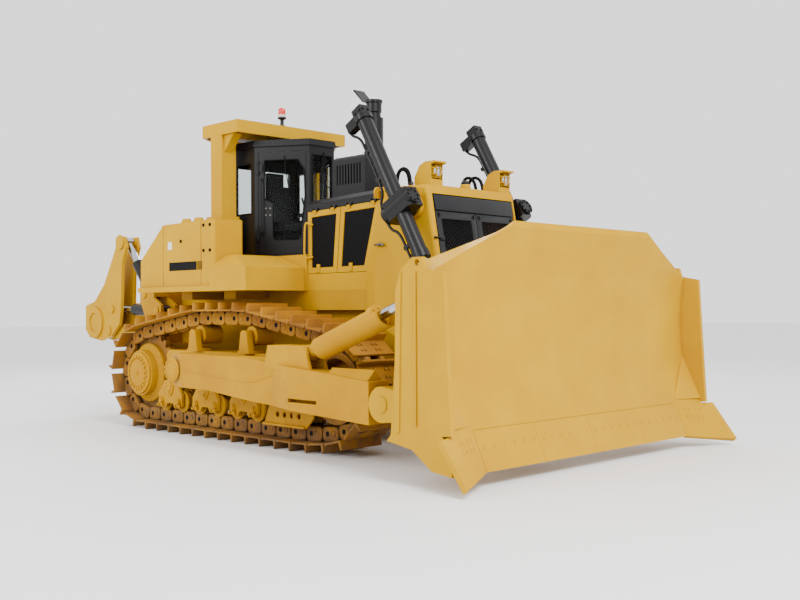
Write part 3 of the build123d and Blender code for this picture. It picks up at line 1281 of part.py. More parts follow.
def cutting_edge():
    """Four bolted edge plates side by side."""
    length = math.dist(EDGE_FOOT, EDGE_HEAD)
    section = [
        edge_spot(0, 0), edge_spot(length, 0), edge_spot(length, EDGE_SKIN), edge_spot(18, EDGE_SKIN),
    ]
    width = 2 * EDGE_HALF / 4
    return [
        side_plate(section, -EDGE_HALF + i * width + 1.5,
         -EDGE_HALF + (i + 1) * width - 1.5) for i in range(4)
    ]


def blade():
    """Hollow-faced blade: skin, spill plate, two box beams, ribs, end plates and the ears of its joints."""
    inner = BLADE_HALF - END_PLATE
    cx, cz = FACE_CENTRE
    face_mid = (cx - FACE_RADIUS, cz)
    back_mid = (cx - FACE_RADIUS - FACE_SKIN, cz)
    low, high = FACE_BOTTOM_Z, FACE_TOP_Z

    def at(x, z):
        return (x, 0, z)

    skin_line = [
        ThreePointArc(at(face_x(low), low), at(*face_mid), at(face_x(high), high)),
        Line(at(face_x(high), high), at(face_x(high, FACE_SKIN), high)),
        ThreePointArc(at(face_x(high, FACE_SKIN), high), at(*back_mid), at(face_x(low, FACE_SKIN), low)),
        Line(at(face_x(low, FACE_SKIN), low), at(face_x(low), low)),
    ]
    skin = extrude(make_face(skin_line), amount=inner + 1, dir=(0, 1, 0))
    middle = FACE_SKIN / 2
    rear = FACE_MID_X - LOWER_BOX_DEPTH
    lower_box = side_plate(
        [(face_x(515, middle), 515), (rear + 120, 545), (rear, 640), (rear, 800),
         (face_x(905, middle), 905)],
        0, inner + 1,
    )
    upper = rear + 130
    upper_box = side_plate(
        [(face_x(1720, middle), 1720), (upper, 1700), (upper, 2040), (face_x(2330, FACE_SKIN), 2330),
         (face_x(2360, middle), 2360)], 0, inner + 1,
    )
    seat = EDGE_SKIN + FIT
    backing = side_plate(
        [edge_spot(70, seat), edge_spot(math.dist(EDGE_FOOT, EDGE_HEAD), seat), (4183, 530), (4080, 560),
         edge_spot(330, 165), edge_spot(90, 105)], 0, inner + 1,
    )
    half = skin + lower_box + upper_box + backing
    for y in RIB_Y:
        half += side_plate(
            [(face_x(850, middle), 850), (rear + 60, 800), (rear + 190, 1250), (upper, 1720),
             (face_x(1750, middle), 1750), (face_x(cz, middle), cz)], y, y + 30,
        )
    chamfer_cut = cross_plate(
        [(CHAMFER_TOP_Y, high), (BLADE_HALF + 60, CHAMFER_END_Z - 25), (BLADE_HALF + 60, high + 200),
         (CHAMFER_TOP_Y, high + 200)], rear - 100, FACE_MID_X + 600,
    )
    half -= chamfer_cut
    spill = side_plate(
        [(face_x(high), high - 1), SPILL_TOP, (SPILL_TOP[0] - 40, SPILL_TOP[1]),
         (face_x(high, FACE_SKIN), high - 1)],
        0, CHAMFER_TOP_Y,
    )
    half += spill - cross_plate(
        [(SPILL_HALF, SPILL_TOP[1] + 1), (CHAMFER_TOP_Y + 1, high), (CHAMFER_TOP_Y + 1, SPILL_TOP[1] + 1)],
        FACE_MID_X, FACE_MID_X + 400,
    )
    half += side_plate(END_OUTLINE, inner, BLADE_HALF)
    wear = side_plate(
        [(3700, 480), (3755, 480), (3790, 1960), (3720, 1780), (3712, 1290)], BLADE_HALF - 1,
        BLADE_HALF + 14
    )
    half += wear
    half -= pin(SHACKLE_HOLE, inner - 1, BLADE_HALF + 20, SHACKLE_R)
    gusset = extrude(
        make_face(Polyline((face_x(540), inner - 400, 540), (face_x(1040), inner, 1040), (4330, inner, 540),
          close=True)),
        amount=20, dir=(-1, 0, -0.2),
    )
    half += gusset
    tongue = (TONGUE_Y - TONGUE_HALF - MOVE_GAP, TONGUE_Y + TONGUE_HALF + MOVE_GAP)
    # ears: centre, lower root, upper root, radius, planes of their inner faces, thickness
    ears = [
        (LIFT_EYE, (FACE_MID_X, 880), (FACE_MID_X - 14, 1290), 125,
         (LIFT_Y - EAR_GAP - 40, LIFT_Y + EAR_GAP), 40),
        (TILT_EYE, (3800, 1710), (3800, 1900), 95, (TILT_Y - 85 - 40, TILT_Y + 85), 40),
        (BLADE_HINGE, (rear + 60, 560), (rear + 60, 800), LUG_R, (tongue[0] - 65, tongue[1]), 65),
    ]
    for centre, root_low, root_high, radius, planes, thickness in ears:
        for y in planes:
            half += ear(centre, root_low, root_high, radius, y, y + thickness)
    half += pin(BLADE_HINGE, tongue[0] - 66, tongue[1] + 72, HINGE_PIN_R)
    half -= end_bit(grow=1)
    return half + mirrored(half)


RIB_Y = (0, 420, 1400)
SHACKLE_HOLE = (3984, 2030)
SHACKLE_R = 32
# end plate's outline behind the end bit, x and z, from its rear foot round
END_OUTLINE = [
    (3584, 391), (3908, 339), (4156, 168), (4395, 140), (4395, 330), (4280, 490), (4385, 497), (4338, 1281),
    (4302, 1936), (4075, 1978),
    (4045, 2080), (3925, 2080), (3767, 1969), (3707, 1787), (3707, 1282), (3637, 451),
]


# ---- Ripper ----------------------------------------------------------------------------------------------
RIPPER_EYE_HALF = 50
RIPPER_FACE = RIPPER_EYE_HALF + MOVE_GAP  # face of a boss, from the lane
RIPPER_BARREL_R = 85
RIPPER_ROD_R = 50
RIPPER_PIN_R = 45
LINK_PIN_R = 55
BOSS_R = 80
BRACKET_IN = (650, 695)
BRACKET_OUT = (885, 925)
BEAM_IN = (660, 700)
LIFT_BASE_GLAND = 826  # lift barrel's length from its base pin
TILT_BASE_GLAND = 627
BEAM_PLATE = [
    (-4690, 1675), (-4400, 1745), (-4106, 1999), (-3763, 2529), (-3700, 2700), (-3500, 2720), (-3440, 2560),
    (-3560, 2300), (-3594, 1609), (-3640, 1390), (-3900, 1200), (-4200, 1130), (-4560, 1180), (-4690, 1300),
]
BRACKET_PLATE = [
    (-2450, 1520), (-2450, 1680), (-2640, 1780), (-2640, 2050), (-2800, 2050), (-3010, 1900), (-3010, 1730),
    (-2880, 1500), (-3060, 1260), (-3070, 1090), (-2850, 960), (-2640, 900), (-2640, 1420),
]


def clevis(outline, inner, outer, centres):
    """Two plates with a boss on each, facing the lane at every centre."""
    pair = side_plate(outline, *inner) + side_plate(outline, *outer)
    for centre in centres:
        pair += pin(centre, inner[1] - 1, RIPPER_LANE - RIPPER_FACE, BOSS_R)
        pair += pin(centre, RIPPER_LANE + RIPPER_FACE, outer[0] + 1, BOSS_R)
    return pair


def ripper_bracket():
    """Rear bracket: a back plate on the transmission case and two pairs of plates with the pins' bosses."""
    pair = clevis(BRACKET_PLATE, BRACKET_IN, BRACKET_OUT, (LINK_PIVOT, UPPER_BASE, LOWER_BASE))
    x = (HULL_REAR_X - 40, HULL_REAR_X - FIT)
    for reach, low, high in (
        (BRACKET_OUT[1], 900, 1420), (BRACKET_IN[1], 1419, 1801), (BRACKET_OUT[1], 1800, 2050),
    ):
        pair += block(x, (0, reach), (low, high))
    for centre, radius in (
        (LINK_PIVOT, LINK_PIN_R), (UPPER_BASE, RIPPER_PIN_R), (LOWER_BASE, RIPPER_PIN_R),
    ):
        pair -= pin(centre, BRACKET_IN[0] - 1, BRACKET_OUT[1] + 1, radius + FIT)
    return pair + mirrored(pair)


def ripper_link():
    """Lower link: two arms with a cross box and both pivot pins."""
    y = (RIPPER_LANE - RIPPER_EYE_HALF, RIPPER_LANE + RIPPER_EYE_HALF)
    (x1, z1), (x2, z2) = LINK_PIVOT, BEAM_PIVOT
    arm = side_plate([(x1, z1 - 95), (x1, z1 + 95), (x2, z2 + 100), (x2, z2 - 100)], *y)
    arm += pin(LINK_PIVOT, *y, 95) + pin(BEAM_PIVOT, *y, 100)
    arm += pin(LINK_PIVOT, BRACKET_IN[0], BRACKET_OUT[1], LINK_PIN_R)
    arm += pin(BEAM_PIVOT, BEAM_IN[0], RIPPER_PLATE_Y[1], LINK_PIN_R)
    arm += block((-3500, -3300), (0, y[0] + 1), (1160, 1300))
    return arm + mirrored(arm)


def ripper_beam():
    """Beam: cross tube with a shank pocket, and two tall plates a side that hold the link and cylinders."""
    half = clevis(BEAM_PLATE, BEAM_IN, RIPPER_PLATE_Y, (BEAM_PIVOT, RIPPER_TOP, RIPPER_SIDE_PIN))
    half -= pin(BEAM_PIVOT, BEAM_IN[0] - 1, RIPPER_PLATE_Y[1] + 1, LINK_PIN_R + FIT)
    face = RIPPER_PLATE_Y[1]
    half += pin(BEAM_CENTRE, 0, face, BEAM_R)
    half += turned([(face - 1, 0), (face - 1, 240), (face + 30, 240), (face + 30, 150), (face + 12, 150),
                    (face + 12, 0)], BEAM_CENTRE)
    half += pin(RIPPER_TOP, face - 1, face + 30, 110) + pin(RIPPER_SIDE_PIN, face - 1, face + 25, 60)
    half += block((-4590, -4150), (0, 150), (1120, 1720))
    x, z = SHANK_X, (1119, 1721)
    half -= block((x[0] - FIT, x[1] + FIT), (-1, SHANK_THICKNESS / 2 + FIT), z)
    return half + mirrored(half)


def ripper_shank():
    """Curved shank with its tip turned forward, and a wider tooth on the tip."""
    rear, front = SHANK_X
    outline = [
        (rear, 2300), (front, 2300), (front, 1000), (-4180, 760), (-4040, 580), (-3950, 500), (-3960, 410),
        (-4140, 450), (-4340, 580), (-4480, 800), (rear, 1050),
    ]
    shank = side_plate(outline, -SHANK_THICKNESS / 2, SHANK_THICKNESS / 2)
    tooth = side_plate([(-4130, 560), (-3960, 540), (-3850, 360), (-4050, 395), (-4180, 440)], -62, 62)
    return shank + tooth


def ripper_barrel(base, eye, gland):
    """Barrel with its base eye, pin, gland and bore."""
    barrel = bar(along(base, eye, 120), along(base, eye, gland), RIPPER_LANE, RIPPER_BARREL_R)
    barrel += bar(base, along(base, eye, 121), RIPPER_LANE, 48)
    barrel += pin(base, RIPPER_LANE - RIPPER_EYE_HALF, RIPPER_LANE + RIPPER_EYE_HALF, 75)
    barrel += pin(base, BRACKET_IN[0] + 2, BRACKET_OUT[1] - 2, RIPPER_PIN_R)
    return barrel - bar(along(base, eye, 200), along(base, eye, gland + 1), RIPPER_LANE, RIPPER_ROD_R + FIT)


def ripper_rod(base, eye, inner_end):
    """Rod from inside its barrel to the eye on the beam."""
    rod = bar(
        along(base, eye, inner_end), along(base, eye, math.dist(base, eye) - 50), RIPPER_LANE, RIPPER_ROD_R,
    )
    rod += pin(eye, RIPPER_LANE - RIPPER_EYE_HALF, RIPPER_LANE + RIPPER_EYE_HALF, 75)
    short = RIPPER_FACE - 4
    return rod + pin(eye, RIPPER_LANE - short, RIPPER_LANE + short, 40)


def carrier_roller(x):
    """Top roller on the shaft that its stand holds."""
    profile = [
        (-140, 0), (-140, CARRIER_R), (ROLLER_HALF - 20, CARRIER_R), (ROLLER_HALF - 20, 70),
        (ROLLER_HALF, 70),
        (ROLLER_HALF, AXLE_R), (ROLLER_HALF + 70, AXLE_R), (ROLLER_HALF + 70, 0),
    ]
    return Pos(0, TRACK_Y, 0) * turned(profile, (x, CARRIER_Z))


# ---- Pieces ----------------------------------------------------------------------------------------------
save("main_frame", main_frame())
save("equalizer_bar", equalizer_bar())
save("pivot_shaft", pin(PIVOT_SHAFT, -PIVOT_HALF, PIVOT_HALF, PIVOT_R))
save("track_frames", *both(track_frame()))
left_track = track()
save("track_left", left_track)
save("track_right", mirrored(left_track))
save("sprockets", *both(sprocket()))
save("final_drives", *both(final_drive()))
save("idlers", *both(idler()))
save("track_rollers", *[side for wheel in track_rollers() for side in both(wheel)])
save("bogies", *[side for x in BOGIE_X for side in both(bogie(x))])
save("roller_guards", *both(front_guard()))
save("carrier_rollers", *[side for x in CARRIER_X for side in both(carrier_roller(x))])
save("engine", engine())
save("radiator", radiator())
save("radiator_guard", radiator_guard())
save("grille", grille())
save("headlamps", *both(headlamp()))
save("hood", hood())
save("engine_sides", engine_bay())
for place, door in (("rear", rear_engine_door()), ("front", front_engine_door())):
    save(f"engine_door_{place}_left", door)
    save(f"engine_door_{place}_right", mirrored(door))
save("fenders", *both(fender()))
save("platform", platform())
save("side_tanks", *both(side_tank()))
save("rear_tank", rear_tank())
save("rops_canopy", rops_canopy())
save("cab", cab_shell())
save("cab_roof", cab_roof())
save("cab_glass", *cab_glass())
save("cab_door_left", cab_door())
save("cab_door_right", mirrored(cab_door()))
save("door_glass_left", door_glass())
save("door_glass_right", mirrored(door_glass()))
save("seat", seat())
save("console", console())
save("exhaust", exhaust())
save("air_box", air_box())
save("beacon", beacon())
save("lift_yokes", *both(lift_yoke()))
save("lift_barrels", *both(lift_barrel()))
save("lift_rods", *both(lift_rod()))
save("push_arms", *both(push_arm()))
save("tilt_barrels", *both(tilt_barrel()))
save("tilt_rods", *both(tilt_rod()))
save("blade", blade())
save("cutting_edges", *cutting_edge(), *both(end_bit()))
save("ripper_bracket", ripper_bracket())
save("ripper_link", ripper_link())
save("ripper_beam", ripper_beam())
save("ripper_shank", ripper_shank())
save("ripper_lift_barrels", *both(ripper_barrel(LOWER_BASE, RIPPER_SIDE_PIN, LIFT_BASE_GLAND)))
save("ripper_lift_rods", *both(ripper_rod(LOWER_BASE, RIPPER_SIDE_PIN, 450)))
save("ripper_tilt_barrels", *both(ripper_barrel(UPPER_BASE, RIPPER_TOP, TILT_BASE_GLAND)))
save("ripper_tilt_rods", *both(ripper_rod(UPPER_BASE, RIPPER_TOP, 300)))
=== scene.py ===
# %% [markdown]
# # A crawler bulldozer, dressed from its frame
# The frame holds every rigid piece at its real size. This lesson adds what paint, bolts, steel lines and
# mesh give the real machine. Everything is in metres: +X is the nose, +Y the left side and +Z up.

# %% Load the frame
import math

import bmesh
import bpy
from mathutils import Matrix, Vector
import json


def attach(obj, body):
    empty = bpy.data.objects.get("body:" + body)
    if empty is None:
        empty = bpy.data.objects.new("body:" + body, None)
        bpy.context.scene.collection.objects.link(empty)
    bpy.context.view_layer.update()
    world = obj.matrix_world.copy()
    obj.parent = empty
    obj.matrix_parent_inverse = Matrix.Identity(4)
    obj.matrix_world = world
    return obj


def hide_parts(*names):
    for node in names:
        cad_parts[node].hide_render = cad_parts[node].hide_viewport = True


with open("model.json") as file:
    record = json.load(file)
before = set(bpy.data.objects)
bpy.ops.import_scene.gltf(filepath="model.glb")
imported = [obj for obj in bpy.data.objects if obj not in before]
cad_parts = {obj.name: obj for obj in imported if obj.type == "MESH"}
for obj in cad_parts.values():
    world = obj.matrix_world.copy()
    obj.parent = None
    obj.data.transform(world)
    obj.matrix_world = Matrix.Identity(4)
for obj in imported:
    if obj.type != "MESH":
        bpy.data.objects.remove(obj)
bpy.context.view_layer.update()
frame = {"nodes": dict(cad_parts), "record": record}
nodes = frame["nodes"]

# %% [markdown]
# ## Camera
# A long machine looks natural from about a dozen metres away, at the eye height of someone standing. The
# lens is a mild telephoto, so the blade looms a little without the cab shrinking behind it.

# %% Place the camera
YAW, PITCH, ROLL = math.radians(45.25), math.radians(0.41), math.radians(-0.3)
CAMERA_PLACE = Vector((10.364, -8.781, 1.628))
LENS_MM, SENSOR_MM, FARTHEST = 45.74, 36, 200

level = Vector((math.cos(YAW), math.sin(YAW), 0))
ahead = Vector((-math.sin(YAW) * math.cos(PITCH), math.cos(YAW) * math.cos(PITCH), math.sin(PITCH)))
upright = level.cross(ahead)
right = level * math.cos(ROLL) + upright * math.sin(ROLL)
top = upright * math.cos(ROLL) - level * math.sin(ROLL)
camera_data = bpy.data.cameras.new("camera")
camera_data.lens, camera_data.sensor_width = LENS_MM, SENSOR_MM
camera_data.clip_end = FARTHEST
camera = bpy.data.objects.new("camera", camera_data)
camera.matrix_world = Matrix.Translation(CAMERA_PLACE) @ Matrix((right, top, -ahead)).transposed().to_4x4()
bpy.context.scene.collection.objects.link(camera)
bpy.context.scene.camera = camera
print("camera at", tuple(CAMERA_PLACE))

# %% [markdown]
# ## Floor and light
# A pale floor and a pale sky keep the shadows soft, as in a studio. One broad lamp in front and one at the
# right side model the blade's hollow face, and a third one from behind draws the cab's edges.

# %% Lay the floor
FLOOR_SIZE, FLOOR_GREY, FLOOR_ROUGHNESS = 160, 0.83, 0.6
BELOW_TRACKS = 0.002


def deselect_all():
    for thing in bpy.context.selected_objects:
        thing.select_set(False)


deselect_all()
bpy.ops.mesh.primitive_plane_add(size=FLOOR_SIZE, location=(0, 0, -BELOW_TRACKS))
floor = bpy.context.object
floor.name = "studio_floor"
floor_finish = bpy.data.materials.new("studio_floor")
floor_finish.use_nodes = True
floor_shader = floor_finish.node_tree.nodes["Principled BSDF"]
floor_shader.inputs["Base Color"].default_value = (FLOOR_GREY, FLOOR_GREY, FLOOR_GREY, 1)
floor_shader.inputs["Roughness"].default_value = FLOOR_ROUGHNESS
floor.data.materials.append(floor_finish)
print("floor", FLOOR_SIZE, "m wide")

# %% Light the studio
SKY_STRENGTH = 1.7
LAMPS = (  # name, place, aim, width and watts
    ("key", (13, -4, 11), (2, 0, 1.2), 6, 2600),
    ("side", (-2, -14, 8), (0, 0, 1.5), 6, 1300),
    ("rim", (-10, 9, 9), (-1, 0, 2), 5, 1100),
)

world = bpy.data.worlds.new("studio")
bpy.context.scene.world = world
world.use_nodes = True
world.node_tree.nodes["Background"].inputs["Color"].default_value = (1.0, 1.0, 1.0, 1)
world.node_tree.nodes["Background"].inputs["Strength"].default_value = SKY_STRENGTH

for name, place, aim, width, watts in LAMPS:
    data = bpy.data.lights.new(name, "AREA")
    data.shape, data.size, data.energy = "DISK", width, watts
    lamp = bpy.data.objects.new(name, data)
    lamp.location = place
    lamp.rotation_euler = (Vector(aim) - Vector(place)).to_track_quat("-Z", "Y").to_euler()
    bpy.context.scene.collection.objects.link(lamp)
print("studio:", len(LAMPS), "soft lamps")

# %% [markdown]
# ## Finishes
# Real paint is never one colour. Each finish here starts from two close tones mixed by a broad noise, takes
# fine grain in its roughness and bump, and gathers soil patches and a plain darkening towards the ground.
# Both follow the height of the point, so neighbouring pieces darken together. Inner corners get painted shade
# in the same tone.


# %% Join a few shader nodes
def wire(tree, source, target):
    tree.links.new(source, target)


def mixed(tree, factor, first, second):
    """A colour between two, each a socket or an (r, g, b) triple."""
    mix = tree.nodes.new("ShaderNodeMix")
    mix.data_type = "RGBA"
    wire(tree, factor, mix.inputs["Factor"])
    for socket, value in ((mix.inputs[6], first), (mix.inputs[7], second)):
        if isinstance(value, tuple):
            socket.default_value = (*value, 1)
        else:
            wire(tree, value, socket)
    return mix.outputs[2]


def noise(tree, coordinates, scale, detail=4.0, roughness=0.5):
    node = tree.nodes.new("ShaderNodeTexNoise")
    node.inputs["Scale"].default_value = scale
    node.inputs["Detail"].default_value = detail
    node.inputs["Roughness"].default_value = roughness
    wire(tree, coordinates, node.inputs["Vector"])
    return node.outputs["Fac"]


print("colour helpers ready")


# %% Work on a value
def stretched(tree, value, low, high, to_low=0.0, to_high=1.0):
    """A value whose range is mapped onto another, and held at its ends."""
    node = tree.nodes.new("ShaderNodeMapRange")
    for name, number in (("From Min", low), ("From Max", high), ("To Min", to_low), ("To Max", to_high)):
        node.inputs[name].default_value = number
    wire(tree, value, node.inputs["Value"])
    return node.outputs["Result"]


def multiplied(tree, first, second):
    node = tree.nodes.new("ShaderNodeMath")
    node.operation = "MULTIPLY"
    wire(tree, first, node.inputs[0])
    wire(tree, second, node.inputs[1])
    return node.outputs["Value"]


def bumped(tree, shader, height, strength, distance):
    """Relief from a height, without changing the mesh."""
    bump = tree.nodes.new("ShaderNodeBump")
    bump.inputs["Strength"].default_value = strength
    bump.inputs["Distance"].default_value = distance
    wire(tree, height, bump.inputs["Height"])
    wire(tree, bump.outputs["Normal"], shader.inputs["Normal"])


print("value helpers ready")

# %% Coat a surface
# Soil tones: they tint soil patches and the darkening towards the ground, and are also the painted shade in
# inner corners.
SOIL_AND_SHADE_TONE, MUD_AND_SHADE_TONE = (0.30, 0.12, 0.0), (0.10, 0.06, 0.03)
TONE_SCALE, PATCH_SCALE, GLOSS_SCALE = 1.7, 5.5, 38.0
# How far the occlusion looks for the painted shade in corners.
CORNER_SHADE_REACH = 0.12
finish = {}


def start_finish(name):
    """A new material, kept in finish: its tree, its shader and the object's coordinates."""
    finish[name] = bpy.data.materials.new(name)
    finish[name].use_nodes = True
    tree = finish[name].node_tree
    return tree, tree.nodes["Principled BSDF"], tree.nodes.new("ShaderNodeTexCoord").outputs["Object"]


def soiled_and_shaded(tree, place, colour, soil_and_shade, tone, soil_top):
    """The colour with soil patches and a darkening below soil_top, and painted shade in inner corners."""
    split = tree.nodes.new("ShaderNodeSeparateXYZ")
    wire(tree, place, split.inputs["Vector"])
    height = stretched(tree, split.outputs["Z"], soil_top, 0.1, 0.0, soil_and_shade)
    patches = stretched(tree, noise(tree, place, PATCH_SCALE, 8, 0.65), 0.38, 0.62)
    colour = mixed(tree, multiplied(tree, height, patches), colour, tone)
    # A plain darkening towards the ground, below soil_top.
    veil = stretched(tree, split.outputs["Z"], soil_top, 0.0, 0.0, soil_and_shade * 0.45)
    colour = mixed(tree, veil, colour, tone)
    # Painted shade: an ambient occlusion mask mixes the soil tone into inner corners, creases and round
    # bolts.
    corner_occlusion = tree.nodes.new("ShaderNodeAmbientOcclusion")
    corner_occlusion.samples, corner_occlusion.only_local = 4, False
    corner_occlusion.inputs["Distance"].default_value = CORNER_SHADE_REACH
    corner_shade = stretched(tree, corner_occlusion.outputs["AO"], 0.75, 0.25, 0.0, 0.55 + soil_and_shade * 0.4)
    return mixed(tree, corner_shade, colour, tone)


def coated(name, tone, second_tone, roughness, coat=0.0, soil_and_shade=0.0, soil_and_shade_tone=SOIL_AND_SHADE_TONE, soil_top=1.7, metallic=0.0,
           grain=0.06, grain_scale=160.0, specular=0.15):
    """Paint or metal: two tones, soil and a darkening below soil_top, painted corner shade, and fine grain in
    roughness and bump.
    """
    tree, shader, place = start_finish(name)
    broad = stretched(tree, noise(tree, place, TONE_SCALE, 5), 0.35, 0.65)
    colour = mixed(tree, broad, tone, second_tone)
    fine = noise(tree, place, GLOSS_SCALE, 6, 0.6)
    if soil_and_shade:
        colour = soiled_and_shaded(tree, place, colour, soil_and_shade, soil_and_shade_tone, soil_top)
    wire(tree, colour, shader.inputs["Base Color"])
    dull = stretched(tree, fine, 0.3, 0.7, roughness * 0.85, min(1.0, roughness * 1.2))
    wire(tree, dull, shader.inputs["Roughness"])
    shader.inputs["Metallic"].default_value = metallic
    shader.inputs["Coat Weight"].default_value = coat
    shader.inputs["Specular IOR Level"].default_value = specular
    shader.inputs["Coat Roughness"].default_value = 0.08
    bumped(tree, shader, noise(tree, place, grain_scale, 3), grain, 0.002)


print("coats ready")

# %% Mix the machine's own finishes
YELLOW, DEEP_YELLOW = (0.50, 0.275, 0.0), (0.46, 0.24, 0.0)
OCHRE, BROWN = (0.40, 0.175, 0.0), (0.22, 0.08, 0.002)

coated("yellow_paint", YELLOW, DEEP_YELLOW, 0.30, soil_and_shade=0.08, specular=0.05)
coated("frame_paint", DEEP_YELLOW, (0.40, 0.19, 0.0), 0.42, soil_and_shade=0.4, soil_top=1.5, specular=0.06)
coated("black_paint", (0.0035, 0.0035, 0.004), (0.006, 0.006, 0.0065), 0.34, specular=0.22)
coated("track_steel", OCHRE, BROWN, 0.62, soil_and_shade=0.75, soil_and_shade_tone=MUD_AND_SHADE_TONE, soil_top=1.9, grain=0.35,
       grain_scale=60.0)
coated("bare_steel", (0.20, 0.19, 0.18), (0.13, 0.12, 0.11), 0.4, metallic=0.9)
coated("rod_chrome", (0.50, 0.51, 0.53), (0.42, 0.43, 0.46), 0.14, metallic=1.0, grain=0.01)
coated("engine_grey", (0.16, 0.16, 0.16), (0.11, 0.11, 0.11), 0.6, grain=0.2)
coated("core_black", (0.003, 0.003, 0.003), (0.005, 0.005, 0.005), 0.6, specular=0.08)
coated("grille_grey", (0.010, 0.0105, 0.012), (0.014, 0.0145, 0.016), 0.4, specular=0.2)
coated("seat_fabric", (0.02, 0.02, 0.022), (0.035, 0.035, 0.04), 0.95, grain=0.5, grain_scale=700.0)
coated("console_plastic", (0.03, 0.03, 0.032), (0.05, 0.05, 0.052), 0.6, grain=0.25, grain_scale=400.0)
coated("beacon_red", (0.75, 0.03, 0.015), (0.62, 0.02, 0.01), 0.18, coat=0.6, grain=0.02)
print("finishes", len(finish))

# %% Clear the glass and finish the frame
GLASS_TINT, GLASS_BENDING = (0.75, 0.80, 0.80, 1), 1.12

tree, shader, place = start_finish("window_glass")
shader.inputs["Base Color"].default_value = GLASS_TINT
shader.inputs["Transmission Weight"].default_value = 1.0
shader.inputs["IOR"].default_value = GLASS_BENDING
wire(tree, stretched(tree, noise(tree, place, 9.0, 5), 0.3, 0.8, 0.02, 0.07), shader.inputs["Roughness"])

slots = {entry["node"]: entry["material_slot"] for entry in frame["record"]["subparts"]}
for node, thing in nodes.items():
    thing.data.materials.clear()
    thing.data.materials.append(finish[slots[node]])
print("nodes finished", len(nodes))

# %% [markdown]
# ## Working by hand, in code
# Every dressed piece starts as a primitive at its size and place, is shaped in edit mode, and is finished
# with a bevel, because no real edge is perfectly sharp. These few helpers select faces the way a modeller
# would: by where they are and which way they look.


# %% Start a piece
def placed(name):
    """Name the new primitive and put its place into its mesh."""
    piece = bpy.context.object
    piece.name = name
    bpy.ops.object.transform_apply(location=True, rotation=True, scale=True)
    return piece


def block(name, low, high):
    """A box between two corners, its object left at the origin."""
    deselect_all()
    low, high = Vector(low), Vector(high)
    bpy.ops.mesh.primitive_cube_add(size=1, location=(low + high) / 2, scale=high - low)
    return placed(name)


def bar(name, start, end, radius, sides=24):
    """A round bar between two points."""
    deselect_all()
    start, end = Vector(start), Vector(end)
    turn = (end - start).to_track_quat("Z", "Y").to_euler()
    bpy.ops.mesh.primitive_cylinder_add(
        vertices=sides, radius=radius, depth=(end - start).length, location=(start + end) / 2, rotation=turn
    )
    return placed(name)


print("blocks and bars ready")

# %% Pick faces and edges in edit mode
ALIKE = 0.9  # the cosine from which two directions count as the same


def chosen(piece):
    """Make the piece the only selected and active one."""
    deselect_all()
    bpy.context.view_layer.objects.active = piece
    piece.select_set(True)


def edit(piece):
    chosen(piece)
    bpy.ops.object.mode_set(mode="EDIT")
    bpy.ops.mesh.select_all(action="DESELECT")


def leave():
    bpy.ops.object.mode_set(mode="OBJECT")


def pick(piece, wanted, kind="FACE"):
    """Select the faces or edges that a test accepts: of (middle, normal), or of the two ends."""
    bpy.ops.mesh.select_mode(type=kind)
    bpy.ops.mesh.select_all(action="DESELECT")
    mesh = bmesh.from_edit_mesh(piece.data)
    if kind == "FACE":
        for face in mesh.faces:
            face.select_set(bool(wanted(face.calc_center_median(), face.normal)))
    else:
        for edge in mesh.edges:
            edge.select_set(bool(wanted(edge.verts[0].co, edge.verts[1].co)))
    bmesh.update_edit_mesh(piece.data)


print("edit mode ready")


# %% Draw faces out and in
def looks(direction):
    """A test for faces that look one way."""
    way = Vector(direction).normalized()
    return lambda middle, normal: normal.dot(way) > ALIKE


UP, FORWARD, OUTWARD = looks((0, 0, 1)), looks((1, 0, 0)), looks((0, 1, 0))


def extrude(piece, wanted, move, size=None):
    """Draw the picked faces out by a vector, and scale their new ends about their own middle."""
    edit(piece)
    pick(piece, wanted)
    bpy.ops.mesh.extrude_region_move(TRANSFORM_OT_translate={"value": move})
    if size:
        bpy.ops.transform.resize(value=size)
    leave()


def inset(piece, wanted, border, depth=0.0):
    """Draw a border inside the picked faces, and sink or raise what it encloses."""
    edit(piece)
    pick(piece, wanted)
    bpy.ops.mesh.inset(thickness=border, depth=depth, use_boundary=True)
    leave()


print("shaping tools ready")

# %% Round and dress a piece
SHARP, SMOOTH = math.radians(30), math.radians(35)


def bevelled(piece, width):
    """Round the sharp edges with an applied bevel, and shade what is nearly flat as smooth."""
    rounding = piece.modifiers.new("rounding", "BEVEL")
    rounding.width, rounding.segments, rounding.limit_method = width, 2, "ANGLE"
    rounding.angle_limit = SHARP
    chosen(piece)
    bpy.ops.object.modifier_apply(modifier="rounding")
    bpy.ops.object.shade_smooth_by_angle(angle=SMOOTH)
    return piece


def dressed(piece, slot, body="tractor", look=None):
    """Give a piece its finish and the body that it rides on, with its faces outwards."""
    edit(piece)
    bpy.ops.mesh.select_all(action="SELECT")
    bpy.ops.mesh.normals_make_consistent(inside=False)
    leave()
    piece.data.materials.clear()
    piece.data.materials.append(finish[look or slot])
    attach(piece, body)
    return piece


print("finishing touches ready")

# %% Join and repeat pieces
MIRROR = Matrix.Scale(-1, 4, (0, 1, 0))
AS_IS = Matrix.Identity(4)


def joined(name, pieces):
    """Several pieces as one."""
    chosen(pieces[0])
    for piece in pieces:
        piece.select_set(True)
    if len(pieces) > 1:
        bpy.ops.object.join()
    pieces[0].name = name
    return pieces[0]


def twin_of(model):
    """A second piece with its own mesh."""
    twin = model.copy()
    twin.data = model.data.copy()
    bpy.context.scene.collection.objects.link(twin)
    return twin


def copies(name, model, places):
    """One piece made of a model repeated at each place, a matrix; the model goes."""
    made = []
    for place in places:
        twin = twin_of(model)
        twin.data.transform(place)
        made.append(twin)
    bpy.data.objects.remove(model)
    return joined(name, made)


def on_both(name, piece, slot, body="tractor"):
    """The piece and its mirror image on the right side, as one."""
    return dressed(copies(name, piece, (AS_IS, MIRROR)), slot, body)


print("joining tools ready")


